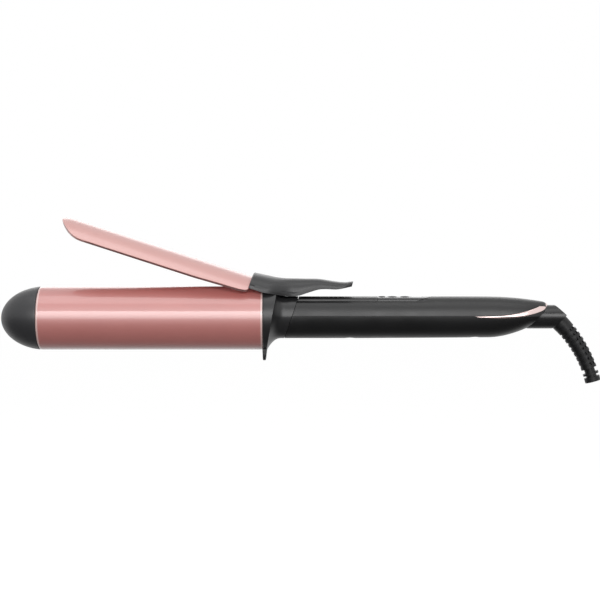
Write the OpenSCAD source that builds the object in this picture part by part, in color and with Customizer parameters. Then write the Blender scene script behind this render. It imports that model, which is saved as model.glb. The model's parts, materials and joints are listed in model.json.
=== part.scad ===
// Curling iron with a spring clamp, push-button handle and swivel cord outlet.
// X runs along the barrel: the barrel points to -X and the handle to +X.
// The origin is on the barrel's axis where it leaves the front collar. Z is up, away from the foot.
// The clamp is drawn open by clamp_open; its parts are shaped closed, then turned about the pivot.

/* [Barrel] */
// Outside diameter of the barrel
barrel_d = 38; // [32:0.5:42]
// Length of barrel between the collar and the cool tip
barrel_len = 133.5; // [115:0.5:160]
// Wall of the barrel
barrel_wall = 1.2; // [0.8:0.1:1.6]
// Depth to which the barrel enters the collar
barrel_lap = 1.4; // [1:0.1:2]

/* [Cool tip] */
// How far the tip stands out past the barrel
tip_len = 23.4; // [16:0.2:30]
// Wall of the tip
tip_wall = 2.4; // [1.6:0.1:3]
// Length of the spigot inside the barrel
tip_spigot = 10; // [6:0.5:14]
// Thickness of the bridge disc
bridge_t = 1.6; // [1:0.1:2.4]

/* [Heating] */
// Length of the flat heater
heater_len = 84; // [60:1:96]
// Width of the flat heater
heater_w = 14; // [10:0.5:18]
// Thickness of the flat heater
heater_t = 3; // [2:0.1:4]
// Length of the two heat spreaders
spreader_len = 88; // [80:1:108]
// Wall of the spreaders
spreader_wall = 2.2; // [1.5:0.1:3]

/* [Clamp] */
// Angle by which the clamp stands open
clamp_open = 17.85; // [0:0.05:20]
// Gap between the closed plate and the barrel
plate_gap = 0.35; // [0.25:0.05:0.8]
// Thickness of the clamp plate
plate_t = 0.8; // [0.6:0.05:1.2]
// Length of the clamp plate in front of the collar
plate_len = 127.7; // [105:0.1:131]
// Half of the angle that the plate covers round the barrel
plate_half_angle = 56.5; // [45:0.5:60]
// Distance from the collar's mouth back to the pivot
pivot_x = 4.2; // [3.8:0.1:5]
// Depth of the pivot below the barrel's top line
pivot_drop = 2.2; // [1.8:0.1:2.6]
// Diameter of the pivot pin
pin_d = 2.4; // [2:0.1:2.8]
// Wire diameter of the clamp spring
spring_wire = 1; // [0.8:0.05:1.1]
// Turns of the clamp spring
spring_turns = 6; // [4:1:7]

/* [Clamp lever] */
// How far the lever reaches over the plate in front of the collar
lever_front = 8; // [6:0.5:12]
// Length of the thumb tab behind the collar's mouth
lever_back = 50; // [42:0.5:56]
// Half width of the thumb tab
tab_half_w = 10; // [8.5:0.1:12]
// Side wall of the lever
lever_wall = 2; // [1.6:0.1:2.4]
// Roof of the lever
lever_roof = 2.6; // [2:0.1:3]

/* [Collar] */
// How far the collar's rim stands proud of the barrel
rim_step = 1; // [0.8:0.1:2]
// Length of the rim at its top
rim_len_top = 7.9; // [7:0.1:9]
// Length of the rim at its bottom
rim_len_bottom = 2.8; // [2.4:0.1:4]
// Length over which the collar narrows to the handle
flare_len = 8.5; // [7:0.1:9]
// How far the foot reaches below the rim
foot_drop = 5.2; // [3:0.1:9]
// Width of the foot
foot_w = 15; // [10:0.5:22]
// Where the collar meets the handle, on the barrel's axis
seam_x = 16.9; // [16.5:0.1:20]
// Gap of the joint between the collar and the handle
seam_gap = 0.15; // [0.05:0.05:0.3]
// How far the collar's spigot reaches into the handle
seam_lap = 3; // [2:0.5:5]
// Wall of the shells round that spigot
lap_wall = 1.6; // [1.2:0.1:2]

/* [Handle] */
// Distance from the collar's mouth to the rear of the handle
handle_len = 171.3; // [168:0.1:180]
// Height of the parting line above the barrel's axis
split_z = 1; // [0:0.1:2]
// Height of the upper shell
upper_h = 12; // [11.5:0.1:13.5]
// Depth of the lower shell
lower_h = 13.1; // [12.5:0.1:15]
// Half width of the handle
handle_half_w = 13.3; // [12.6:0.1:15]
// Wall of the shells
shell_wall = 1.8; // [1.4:0.1:2.2]
// Distance from the collar's mouth to the front handle screw
screw_x = 52; // [48:0.5:54]

/* [Rear trim] */
// Length of the trim band along the handle
trim_len = 45.3; // [40:0.1:52]
// How high the band climbs to the rear
trim_rise = 8.3; // [7.5:0.1:8.8]
// Height of the band at the rear
trim_h = 3.7; // [3:0.1:4.2]
// Wall of the band
trim_wall = 1.6; // [1.2:0.1:2]

/* [Controls] */
// Distance from the collar's mouth to the front of the control panel
panel_x = 68.4; // [67:0.1:74]
// Length of the control panel along its lower edge
panel_len = 24; // [23.6:0.1:27]
// Length of the ramp behind the panel
ramp_len = 9.2; // [7:0.1:11]
// Depth of the panel below the crown of the handle
panel_sink = 0.2; // [0.1:0.05:0.5]
// Pitch of the keys
key_pitch = 7.4; // [7.2:0.1:7.6]
// Length of the minus and plus keys
key_len = 6.1; // [5:0.1:6.2]
// Length of the power key
power_key_len = 3.6; // [3.2:0.1:4]
// Width of the keys
key_w = 9; // [7:0.1:10]
// Travel of the keys
key_travel = 0.8; // [0.3:0.1:0.8]
// Length of the display window
window_len = 6; // [5.4:0.1:6.2]
// Width of the display window
window_w = 10.4; // [8:0.1:11]
// Thickness of the circuit boards
board_t = 1.4; // [1:0.1:1.6]

/* [Swivel] */
// Diameter of the swivel boot
boot_d = 14.2; // [12.5:0.1:14.4]
// Height of the swivel's axis
boot_z = 0.8; // [0.6:0.1:1]
// How far the boot's elbow stands out past the handle
boot_end = 2.4; // [2.2:0.1:8.7]
// Diameter of the neck that turns in the bush
neck_d = 9; // [8:0.1:9.4]
// Bore for the cord
cord_bore = 4.6; // [4:0.1:4.8]

/* [Strain relief] */
// Angle by which the strain relief leaves the boot
relief_angle = 44; // [35:0.5:50]
// Bend of the strain relief
relief_bend = 30.2; // [20:0.1:34]
// Bend radius of the strain relief
relief_r = 74; // [60:1:90]
// Diameter of the ribs
rib_d = 10.2; // [9.6:0.1:11]
// Thickness of a rib
rib_t = 1.8; // [1.2:0.1:1.8]
// Number of ribs
rib_count = 8; // [7:1:11]
// Diameter of the core between the ribs
core_d = 6.4; // [6.2:0.1:7]

/* [Fits] */
// Radial running clearance of the pin, the swivel and their bores
run_fit = 0.05; // [0.02:0.01:0.09]
// Clearance between pieces that are seated together
seat_fit = 0.1; // [0.05:0.05:0.2]
// Clearance round moving keys and the boot
move_gap = 0.2; // [0.15:0.05:0.3]

/* [Hidden] */
$fn = 96;

// Barrel and tip
barrel_r = barrel_d / 2;
bore_r = barrel_r - barrel_wall;
tip_x = -barrel_len;
tip_back = 3.6;
tip_r = barrel_r - 0.1;
spigot_end = tip_x + tip_spigot;
bridge_x = spigot_end + seat_fit;
post_r = 4;
tip_screw_d = 2.9;
tip_screw_len = 12;
tip_screw_head = 1.6;

// Heating block, centred in the barrel between the bridge and the socket
plug_len = 11;
heat_gap = 1;
heat_x1 = -plug_len - heat_gap;
heat_x0 = heat_x1 - spreader_len;
heater_inset = 2;
heater_x1 = heat_x1 - heater_inset;
heater_x0 = heater_x1 - heater_len;
pad_z = heater_t / 2 + seat_fit;
pad_half_w = heater_w / 2 + 2;
pad_t = 2.6;
bead_r = 1.2;
bead_len = 5;
bead_back = 15;
fuse_r = 1.9;
fuse_len = 10;
fuse_lead = 6;
fuse_lead_r = 0.5;
fuse_tail = 6;

// Socket that joins the barrel to the handle
plug_floor = 3;
sock_neck_r = 8;
sock_bore_r = 5.2;
sock_flange_r = 9.6;
sock_flange_x = 28;
sock_flange_t = 3;
sock_end = 34;

// Clamp
seat_r = barrel_r + plate_gap + plate_t + seat_fit;
pivot_z = barrel_r - pivot_drop;
pin_r = pin_d / 2;
rim_r = barrel_r + rim_step;
foot_t = 3.9;
foot_round = 3;
ear_half_w = 10.9;
boss_r = 2.7;
boss_in = ear_half_w + 0.2;
boss_out = 15.2;
slot_half_w = 5.2;
spring_r = pin_r + 0.2 + spring_wire / 2;
spring_pitch = spring_wire + 0.25;
spring_sides = 6;
spring_steps = 10;
pin_half_len = 14.4;
cheek_drop = 6.15;
plate_tip_r = 14;
plate_half_w = (barrel_r + plate_gap) * sin(plate_half_angle);
heel_half_w = plate_half_w - 1.8;
lever_screw_r = 0.9;
lever_screw_x = -4;
lever_screw_turn = 17;

// Handle
hand_top = split_z + upper_h;
crown_exp = 2.6;
low_lift = 3;
seam_lean = 0.34;
neck_squeeze = 0.9;
neck_squeeze_len = 26;
rear_edge = 1.3;
tail_len = 40;
tail_drop = 3.3;
lip_len = 3.3;
lip_drop = 1.2;
belly_x = 60;
belly_len = 75;
belly_rise = 0.5;
keel_back = 35.3;
keel_len = 25;
keel_rise = 6.6;
bow_len = 51.7;
cavity_x0 = 36;
cavity_x1 = handle_len - 22.5;
bulk_end = handle_len - 13.1;
rear_cut_x = handle_len - 12.3;
rear_cut_z = -5.6;
split_gap = 0.05;
core_inset = trim_wall + 0.1;

// Handle screws
screw_rear_x = handle_len - 44.5;
screw_r = 1.25;
screw_head_r = 2.6;
screw_head_t = 2;
screw_seat_z = -7;
screw_top = 8;
boss_wall_r = 3.9;

// Trim
trim_x = handle_len - trim_len;
trim_run = trim_len - rear_edge;
trim_lead = 8;
trim_steps = 12;

// Screws of the two boards
small_screw_r = 0.9;
small_head_r = 1.9;
small_head_t = 1.2;

// Controls
panel_z = 9.7;
panel_half_w = 11.5;
pocket_z = 10.7;
pocket_half_w = 7.2;
crown_z = hand_top + 0.15;
flange_t = 1;
flange_lip = 0.8;
flange_z = 9.5;
key_crown_r = 10.7;
key_gap = key_pitch - key_len;
power_x = panel_x + 1 + power_key_len / 2;
minus_x = power_x + (power_key_len + key_len) / 2 + key_gap;
plus_x = minus_x + key_pitch;
window_x = plus_x + key_len / 2 + key_gap;
window_z = 11;
window_ledge = 0.8;
board_half_w = 8.5;
board_z = 4.4;
board_post_r = 2.2;
board_post_x = [panel_x - board_post_r - 1.5, panel_x + panel_len + ramp_len + board_post_r];
board_x0 = board_post_x[0] - 4;
board_x1 = board_post_x[1] + small_head_r;
switch_h = 2;
switch_half = 2;
plunger_r = 1.1;
plunger_top = flange_z - key_travel - seat_fit;

// Power board
pb_x0 = screw_x + boss_wall_r + 2.1;
pb_x1 = screw_rear_x - boss_wall_r - 1.2;
pb_half_w = 8;
pb_z = -4.2;
pb_post_x = [pb_x0 + 4, pb_x1 - 4];
pb_post_r = 2.4;
relay_size = [16, 10, 5];
relay_x0 = pb_x0 + 7.5;
capacitor_len = 12;
capacitor_r = 2.8;
triac_size = [4.5, 8, 5.5];
heater_lead_r = 0.9;
heater_lead_y = 3;
supply_lead_r = 0.8;
board_lead_y = 6;
supply_lead_y = 5.5;
lead_run = 4;

// Swivel
boot_r = boot_d / 2;
neck_r = neck_d / 2;
cord_r = cord_bore / 2;
boot_x1 = handle_len + boot_end;
bush_r = 6.5;
bush_len = 7;
bush_x1 = bulk_end - 2.2;
bush_x0 = bush_x1 - bush_len;
ring_t = 1.4;
ring_groove_x = bush_x0 - ring_t - 0.6;
ring_groove_depth = 0.8;
slip_r = 4.6;
slip_seat_r = 3.6;
slip_w = 4;
slip_rib = 1.5;
slip_end = ring_groove_x - 2.5;
slip_x = [slip_end - 2 * slip_w - 2 * slip_rib + 0.7, slip_end - slip_w - slip_rib + 0.7];
neck_x0 = slip_x[0] - 1.8;
slip_rib_r = slip_r + 0.6;
elbow_room_r = 3.6;
collar_ring_r = 5.4;
collar_ring_t = 1.2;
holder_x0 = slip_x[0] - 1;
holder_x1 = slip_end;
holder_z1 = -6.2;
holder_half_w = 7;
brush_foot_r = 1.4;
brush_foot_h = 1.4;
brush_half_w = 1;
brush_len = 4.5;
brush_t = 0.5;
relief_root_d = 10.6;
relief_root_bend = 5.4;
relief_tail_bend = 4.2;
relief_spigot = 1.6;
relief_spigot_r = 4.2;
relief_tip_t = 2.9;
relief_tip_d = 9.4;
spine_depth = 0.3;
// Where the spines lie, as turns about the relief's line. 90 is the outside of the bend.
inner_spine = [177, 363];
side_spine = [22, 40];
outer_spine = [72, 108];
tail_rib_t = 1.3;
// The relief's line bends about a centre below it. Angles are counted down from level.
relief_x = boot_x1 + relief_root_d / 2 * sin(relief_angle);
relief_z = boot_z - boot_r + 0.4 + relief_root_d / 2 * cos(relief_angle);
relief_cx = relief_x - relief_r * sin(relief_angle);
relief_cz = relief_z - relief_r * cos(relief_angle);
elbow_back = (boot_z - relief_z) / sin(relief_angle);
relief_end_angle = relief_angle + relief_bend;

// ---------------------------------------------------------------- helpers

function lerp(a, b, t) = a + (b - a) * t;
function clamp01(t) = max(0, min(1, t));
function ease(t) = let (u = clamp01(t)) u * u * (3 - 2 * u);
function signed_pow(v, p) = sign(v) * pow(abs(v), p);

// A solid skinned over rings that all have the same number of points.
module loft(rings) {
    n = len(rings[0]);
    last = len(rings) - 1;
    polyhedron(
        points = [for (ring = rings) each ring],
        faces = concat(
            [[for (i = [0 : n - 1]) i]],
            [for (k = [0 : last - 1], i = [0 : n - 1])
                let (j = (i + 1) % n) each [
                    [k * n + i, (k + 1) * n + i, (k + 1) * n + j],
                    [k * n + i, (k + 1) * n + j, k * n + j]
                ]],
            [[for (i = [n - 1 : -1 : 0]) last * n + i]]
        )
    );
}

// Cylinder along X from x0 to x1, on the barrel's axis unless z is given.
module rod_x(x0, x1, r, y = 0, z = 0) {
    translate([x0, y, z]) rotate([0, 90, 0]) cylinder(h = x1 - x0, r = r);
}

module tube_x(x0, x1, r_out, r_in, z = 0) {
    difference() {
        rod_x(x0, x1, r_out, z = z);
        rod_x(x0 - 1, x1 + 1, r_in, z = z);
    }
}

module rod_y(x, z, half_len, r) {
    translate([x, half_len, z]) rotate([90, 0, 0]) cylinder(h = 2 * half_len, r = r);
}

module rod_z(x, y, z0, z1, r) {
    translate([x, y, z0]) cylinder(h = z1 - z0, r = r);
}

// Box from one corner to the other.
module block(low, high) {
    translate(low) cube(high - low);
}

// A side view outline in X and Z, made solid across Y.
module side_prism(points, half_w = 40) {
    rotate([90, 0, 0]) linear_extrude(height = 2 * half_w, center = true) polygon(points);
}

// Turns clamp parts from their closed place to the open one.
module opened() {
    translate([pivot_x, 0, pivot_z]) rotate([0, clamp_open, 0]) translate([-pivot_x, 0, -pivot_z]) children();
}

// ------------------------------------------------------- form of the handle

function handle_top(x) =
    hand_top - tail_drop * pow(clamp01((x - handle_len + tail_len + rear_edge) / tail_len), 2.2)
    - lip_drop * pow(clamp01((x - handle_len + lip_len) / lip_len), 2);
function handle_bottom(x) =
    split_z - lower_h + belly_rise * clamp01((x - belly_x) / belly_len)
    + keel_rise * pow(clamp01((x - handle_len + keel_back) / keel_len), 1.8);
function handle_half(x) =
    (handle_half_w - neck_squeeze * (1 - ease((x - seam_x) / neck_squeeze_len)))
    * sqrt(1 - pow(clamp01((x - handle_len + bow_len - 0.2) / bow_len), 6));

// One section: a squarish crown above the parting line and an ellipse below it.
function handle_ring(x, inset = 0) =
    let (
        w = handle_half(x) - inset,
        up = handle_top(x) - split_z - inset,
        low = split_z - handle_bottom(x) - inset,
        bz = low + low_lift,
        by = w / sqrt(1 - pow(low_lift / bz, 2)),
        a0 = asin(low_lift / bz),
        sweep = 180 - 2 * a0
    ) concat(
        [for (a = [0 : 15 : 180]) [x,
            w * signed_pow(cos(a), 2 / crown_exp),
            split_z + up * pow(max(0, sin(a)), 2 / crown_exp)]],
        [for (i = [1 : 11]) let (a = 180 + a0 + sweep * i / 12) [x,
            by * cos(a),
            split_z + low_lift + bz * sin(a)]]
    );

// Where the handle's sections lie: counted from the collar's mouth, then back from the rear end.
front_stations = [12, 16, 20, 24, 30, 38, 60, 100];
rear_stations = [46.3, 36.3, 28.3, 22.3, 17.3, 13.3, 9.3, 6.3, 3.8, 2, 0.7];
handle_stations = concat(front_stations, [for (back = rear_stations) handle_len - back]);
module handle_form(inset = 0, x0 = 0, x1 = 400) {
    stations = concat(
        x0 > handle_stations[0] ? [x0] : [],
        [for (x = handle_stations) if (x > x0 + 0.5 && x < min(x1, handle_len) - 0.3) x],
        [min(x1, handle_len - inset)]
    );
    loft([for (x = stations) handle_ring(x, inset)]);
}

// The curved edges that bound the trim band, in side view.
function trim_top(x) = split_z + trim_rise * pow(clamp01((x - trim_x) / trim_run), 2.8);
function trim_low(x) =
    x <= trim_x ? split_z : trim_top(x) - trim_h * clamp01((x - trim_x + trim_lead) / (trim_run + trim_lead));
trim_xs = [for (i = [0 : trim_steps]) trim_x + (trim_len + 4) * i / trim_steps];

module above_trim(gap = 0) {
    side_prism(concat(
        [[0, 60], [0, split_z + gap]],
        [for (x = trim_xs) [x, trim_top(x) + gap]],
        [[handle_len + 4, 60]]
    ));
}
module below_trim(gap = 0) {
    side_prism(concat(
        [[0, -60], [0, split_z - gap], [trim_x, split_z - gap]],
        [for (x = trim_xs) if (x > trim_x) [x, trim_low(x) - gap]],
        [[handle_len + 4, -60]]
    ));
}
module trim_wedge() {
    side_prism(concat(
        [for (x = trim_xs) [x, trim_top(x)]],
        [for (i = [trim_steps : -1 : 1]) [trim_xs[i], trim_low(trim_xs[i])]]
    ));
}

// Everything in front of the slanted joint between the collar and the handle.
module seam_front(gap = 0) {
    side_prism([
        [-60, -60],
        [seam_x + gap - 60 * seam_lean, -60],
        [seam_x + gap + 60 * seam_lean, 60],
        [-60, 60]
    ]);
}

// The spigot behind the collar that centres the two shells.
module collar_spigot(inset, gap) {
    intersection() {
        handle_form(lap_wall + inset, handle_stations[0] + 2, seam_x + 2 * seam_lap + 6);
        seam_front(seam_lap + gap);
    }
}

// What is cut from both shells for the boot: its hole and the slanted mouth.
module rear_mouth() {
    rod_x(bulk_end, handle_len + 5, boot_r + move_gap + 0.1, z = boot_z);
    side_prism([
        [rear_cut_x - 4, rear_cut_z - 4],
        [rear_cut_x, rear_cut_z],
        [rear_cut_x + 20, rear_cut_z + 20],
        [rear_cut_x + 20, rear_cut_z - 30]
    ]);
}

// The seats of the socket and the bush.
module handle_seats() {
    rod_x(0, cavity_x0 + 1, sock_neck_r + seat_fit);
    rod_x(sock_flange_x - seat_fit, sock_flange_x + sock_flange_t + seat_fit, sock_flange_r + seat_fit);
    rod_x(cavity_x1 - 1, bush_x1 + seat_fit, bush_r + seat_fit, z = boot_z);
    rod_x(bush_x1 - 1, bulk_end + 1, neck_r + 0.3, z = boot_z);
}

// The inner room of both shells, left full where the screw bosses stand.
module handle_room() {
    difference() {
        handle_form(shell_wall, cavity_x0, cavity_x1);
        for (x = [screw_x, screw_rear_x]) rod_z(x, 0, -2 * lower_h, 2 * upper_h, boss_wall_r);
    }
    handle_seats();
}

// ------------------------------------------------------------ barrel and tip

function tip_profile(x, inset = 0) =
    let (a = tip_len + tip_back, b = tip_r / sqrt(1 - pow(tip_back / a, 2)))
    (b - inset) * sqrt(max(0, 1 - pow((x - tip_back) / (a - inset), 2)));

module cool_tip() {
    steps = 14;
    color([0.17, 0.17, 0.18])
    translate([tip_x, 0, 0]) rotate([0, -90, 0]) difference() {
        union() {
            rotate_extrude() polygon(concat(
                [[0, 0], [tip_r, 0]],
                [for (i = [1 : steps - 1])
                    let (x = -tip_len * sin(90 * i / steps)) [tip_profile(x), -x]],
                [[0, tip_len]]
            ));
            translate([0, 0, -tip_spigot]) cylinder(h = tip_spigot + 1, r = bore_r - seat_fit);
        }
        difference() {
            union() {
                rotate_extrude() polygon(concat(
                    [[0, -1], [bore_r - tip_wall, -1]],
                    [for (i = [1 : steps - 1])
                        let (x = -(tip_len - tip_wall) * sin(90 * i / steps))
                        [min(bore_r - tip_wall, tip_profile(x, tip_wall)), -x]],
                    [[0, tip_len - tip_wall]]
                ));
                translate([0, 0, -tip_spigot - 1]) cylinder(h = tip_spigot + 1, r = bore_r - tip_wall);
            }
            translate([0, 0, -tip_spigot]) cylinder(h = tip_spigot + tip_len, r = post_r);
        }
        translate([0, 0, -tip_spigot - 1]) cylinder(h = tip_screw_len + 1, r = tip_screw_d / 2 + run_fit);
    }
}

module tip_bridge() {
    vent_r = 2.5;
    color([0.72, 0.72, 0.74])
    difference() {
        rod_x(bridge_x, bridge_x + bridge_t, bore_r - run_fit);
        rod_x(bridge_x - 1, bridge_x + bridge_t + 1, tip_screw_d / 2 + seat_fit);
        for (a = [45 : 90 : 315])
            rotate([a, 0, 0]) rod_x(bridge_x - 1, bridge_x + bridge_t + 1, vent_r, z = bore_r * 0.6);
    }
}

module tip_screw() {
    head_x = bridge_x + bridge_t + seat_fit;
    color([0.6, 0.6, 0.62])
    difference() {
        union() {
            rod_x(head_x + tip_screw_head - tip_screw_len, head_x + tip_screw_head / 2, tip_screw_d / 2);
            rod_x(head_x, head_x + tip_screw_head, tip_screw_d);
        }
        rod_x(head_x + tip_screw_head / 2, head_x + 2 * tip_screw_head, tip_screw_d / 4);
    }
}

module barrel() {
    color([0.86, 0.6, 0.57])
    difference() {
        rod_x(tip_x + seat_fit, barrel_lap, barrel_r);
        rod_x(tip_x - 1, barrel_lap + 1, bore_r);
    }
}

module heater_element() {
    color([0.9, 0.88, 0.8])
    block([heater_x0, -heater_w / 2, -heater_t / 2], [heater_x1, heater_w / 2, heater_t / 2]);
}

// One extrusion: an arc that lies against the barrel, a stem and a pad on the heater.
module spreader_profile() {
    arc_r = bore_r - seat_fit;
    difference() {
        circle(r = arc_r);
        circle(r = arc_r - spreader_wall);
        for (turn = [-35, 35]) rotate(turn) translate([-2 * arc_r, -4 * arc_r]) square(4 * arc_r);
    }
    translate([-pad_half_w, pad_z]) square([2 * pad_half_w, pad_t]);
    for (side = [-1, 1])
        translate([side * pad_half_w * 0.6 - spreader_wall / 2, pad_z])
            square([spreader_wall, sqrt(pow(arc_r, 2) - pow(pad_half_w * 0.6 + spreader_wall, 2)) - pad_z]);
}

module spreader(turn) {
    color([0.78, 0.79, 0.8])
    translate([heat_x0, 0, 0]) rotate([turn, 0, 0]) rotate([90, 0, 90])
        linear_extrude(height = spreader_len) spreader_profile();
}
module upper_heat_spreader() { spreader(0); }
module lower_heat_spreader() { spreader(180); }

module thermistor() {
    color([0.85, 0.5, 0.2])
    rod_x(heat_x1 - bead_back - bead_len, heat_x1 - bead_back, bead_r, z = pad_z + pad_t + bead_r + seat_fit);
}

module thermal_fuse() {
    fuse_z = -(pad_z + pad_t + fuse_r + seat_fit);
    fuse_x1 = heat_x1 - fuse_lead - fuse_tail;
    color([0.8, 0.8, 0.82]) {
        rod_x(fuse_x1 - fuse_len, fuse_x1, fuse_r, z = fuse_z);
        rod_x(fuse_x1 - fuse_len - fuse_lead, fuse_x1 + fuse_lead, fuse_lead_r, z = fuse_z);
    }
}

// Plug in the barrel, neck through the collar, and a flange held by the shells.
module barrel_socket() {
    color([0.9, 0.88, 0.83])
    difference() {
        union() {
            rod_x(-plug_len, barrel_lap, bore_r - run_fit);
            rod_x(0, sock_end, sock_neck_r);
            rod_x(sock_flange_x, sock_flange_x + sock_flange_t, sock_flange_r);
        }
        rod_x(-plug_len - 1, sock_end + 1, sock_bore_r);
        difference() {
            rod_x(-plug_len - 1, -plug_floor, bore_r - plug_floor);
            rod_x(-plug_len - 2, 0, sock_neck_r);
        }
    }
}

// A wire laid through a few points, in X first and mitred at its corners.
module wire(points, r, sides = 10) {
    last = len(points) - 1;
    loft([for (i = [0 : last])
        let (
            back = points[i] - points[max(i - 1, 0)],
            ahead = points[min(i + 1, last)] - points[i],
            along = (i > 0 ? back / norm(back) : [0, 0, 0]) + (i < last ? ahead / norm(ahead) : [0, 0, 0]),
            dir = along / norm(along),
            side = cross([0, 0, 1], dir) / norm(cross([0, 0, 1], dir)),
            up = cross(dir, side)
        )
        [for (k = [0 : sides - 1]) let (q = 360 * k / sides) points[i] + r * (cos(q) * side + sin(q) * up)]
    ]);
}

module heater_leads() {
    top_z = pb_z + board_t + seat_fit + heater_lead_r;
    for (side = [-1, 1])
        color(side > 0 ? [0.75, 0.12, 0.1] : [0.9, 0.9, 0.88])
        wire([
            [heater_x1 + seat_fit, side * heater_lead_y, 0],
            [sock_end + lead_run, side * heater_lead_y, 0],
            [pb_x0 - lead_run, side * board_lead_y, top_z],
            [pb_x0 + lead_run - 1, side * board_lead_y, top_z]
        ], heater_lead_r);
}

// -------------------------------------------------------------------- collar

// Each point of the collar's skin runs from a circle at the rim to the handle's section.
function flare_ring(x) = [
    for (p = handle_ring(max(x, handle_stations[0]), 0))
        let (
            d = norm([p[1], p[2]]),
            up = 0.5 + 0.5 * p[2] / d,
            start = lerp(rim_len_bottom - 0.4, rim_len_top - 1.6, up),
            f = pow(1 - clamp01((x - start) / flare_len), 2.2),
            r = lerp(d, barrel_r + 0.3, f)
        ) [x, p[1] * r / d, p[2] * r / d]
];

module collar_rim() {
    intersection() {
        rod_x(0, rim_len_top + 1, rim_r);
        side_prism([
            [-1, -60], [rim_len_bottom - 0.4, -60], [rim_len_bottom, -barrel_r * 0.8],
            [lerp(rim_len_bottom, rim_len_top, 0.55), -barrel_r * 0.16],
            [lerp(rim_len_bottom, rim_len_top, 0.86), barrel_r * 0.05],
            [rim_len_top, barrel_r * 0.47], [rim_len_top, 60], [-1, 60]
        ]);
    }
}

module foot() {
    tip_z = -rim_r - foot_drop;
    corner = foot_w / 2 - foot_round;
    intersection() {
        side_prism([
            [foot_t * 0.15, -rim_r + 3], [foot_t * 0.05, -rim_r + 1],
            [-foot_t * 0.23, -barrel_r - seat_fit * 2], [0, tip_z + 0.4],
            [0.4, tip_z], [1.5, tip_z], [1.9, tip_z + 0.5],
            [foot_t * 0.77, -barrel_r], [foot_t * 0.77, -rim_r + 4]
        ]);
        rotate([90, 0, 90]) linear_extrude(height = 2 * rim_len_top, center = true) polygon(concat(
            [[-foot_w / 2 - 1, 0], [-foot_w / 2 - 1, -rim_r + 1]],
            [for (a = [0 : 15 : 90]) [-corner - foot_round * cos(a), tip_z + foot_round * (1 - sin(a))]],
            [for (a = [90 : -15 : 0]) [corner + foot_round * cos(a), tip_z + foot_round * (1 - sin(a))]],
            [[foot_w / 2 + 1, -rim_r + 1], [foot_w / 2 + 1, 0]]
        ));
    }
}

flare_stations = [0.5, 2.4, 3.6, 4.8, 6, 7.2, 8.4, 9.8, 11.2, 12.8, 14.6, 17, 22];
module front_collar() {
    slot_z = pivot_z - spring_r - spring_wire / 2 - 0.8;
    color([0.24, 0.24, 0.25])
    difference() {
        union() {
            collar_rim();
            intersection() {
                loft([for (x = flare_stations) flare_ring(x)]);
                seam_front();
            }
            foot();
            collar_spigot(seat_fit, 0);
        }
        rod_x(-5, barrel_lap + seat_fit, barrel_r + seat_fit);
        rod_x(-1, seam_x + 20, sock_neck_r + seat_fit);
        // Room for the lever's side bosses, and the slot for the spring.
        for (side = [-1, 1])
            block(
                [barrel_lap + seat_fit, side > 0 ? ear_half_w : -40, pivot_z - 3.8],
                [12, side > 0 ? 40 : -ear_half_w, 40]
            );
        block([pivot_x - spring_r - 1, -slot_half_w, slot_z], [14, slot_half_w, 40]);
        rod_y(pivot_x, pivot_z, 40, pin_r + run_fit);
    }
}

// --------------------------------------------------------------------- clamp

// Width, roof line and lower edge of the lever when closed, from its front to its tip.
// The lines give shares of lever_back and heights above the plate's top.
function lever_half(x) = lerp(
    sqrt(pow(seat_r, 2) - pow(seat_r - cheek_drop, 2)) + lever_wall + 0.1,
    tab_half_w,
    ease((x - 2) / 16)
) - 2.6 * pow(clamp01((x - lever_back + 7) / 7), 2.5);
lever_top_line = [
    [-0.18, 3.7], [0, 4.6], [0.12, 5.2], [0.22, 6.2], [0.3, 7.4], [0.42, 9.2],
    [0.6, 11.9], [0.77, 13.3], [0.9, 14.7], [1, 16.8]
];
lever_low_line = [
    [-0.18, -6.2], [0.02, -6.15], [0.14, -5.3], [0.26, -4.3], [0.32, -3.6], [0.42, -1.8],
    [0.54, 2.4], [0.64, 5.8], [0.72, 7.4], [0.86, 9.5], [1, 13.4]
];
function lever_top(x) = seat_r + lookup(x / lever_back, lever_top_line);
function lever_low(x) = seat_r + lookup(x / lever_back, lever_low_line);

// An arch across the lever. drop carries its feet lower, so that a hollow stays open below.
function arch(x, half_w, top, low, drop = 0) =
    let (e = lerp(2.1, 3, ease((x - 8) / 20)), n = 14) concat(
        [for (i = [0 : n]) let (a = 180 * i / n) [x,
            half_w * signed_pow(cos(a), 2 / e),
            low + (top - low) * pow(max(0, sin(a)), 2 / e)]],
        drop > 0 ? [[x, -half_w, low - drop], [x, half_w, low - drop]] : []
    );

lever_stations = [-8, -5, -2, 1, 4, 7, 10, 13, 16, 19, 23, 27, 31, 35, 39, 43, 46, 48, 50];
module lever_skin() {
    xs = concat(
        [-lever_front],
        [for (x = lever_stations) if (x > 0.5 - lever_front && x < lever_back - 1) x],
        [lever_back]
    );
    loft([for (x = xs) arch(x, lever_half(x), lever_top(x), lever_low(x))]);
}
module lever_hollow() {
    xs = [for (x = lever_stations) if (x > -1 && x < lever_back - 3) x];
    loft([for (x = concat([-0.4], xs)) arch(
        x, lever_half(x) - lever_wall, lever_top(x) - lever_roof, lever_low(x), 3
    )]);
}

module clamp_lever() {
    color([0.3, 0.3, 0.31])
    opened() difference() {
        union() {
            difference() {
                lever_skin();
                lever_hollow();
                rod_x(-lever_front - 1, -0.3, seat_r);
            }
            for (side = [-1, 1])
                translate([pivot_x, side > 0 ? boss_in : -boss_in, pivot_z])
                    rotate([side > 0 ? -90 : 90, 0, 0]) cylinder(h = boss_out - boss_in, r = boss_r);
        }
        rod_y(pivot_x, pivot_z, pin_half_len + seat_fit, pin_r + run_fit);
        for (side = [-1, 1]) lever_screw_axis(side) cylinder(h = 3.2, r = lever_screw_r);
    }
}

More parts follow.
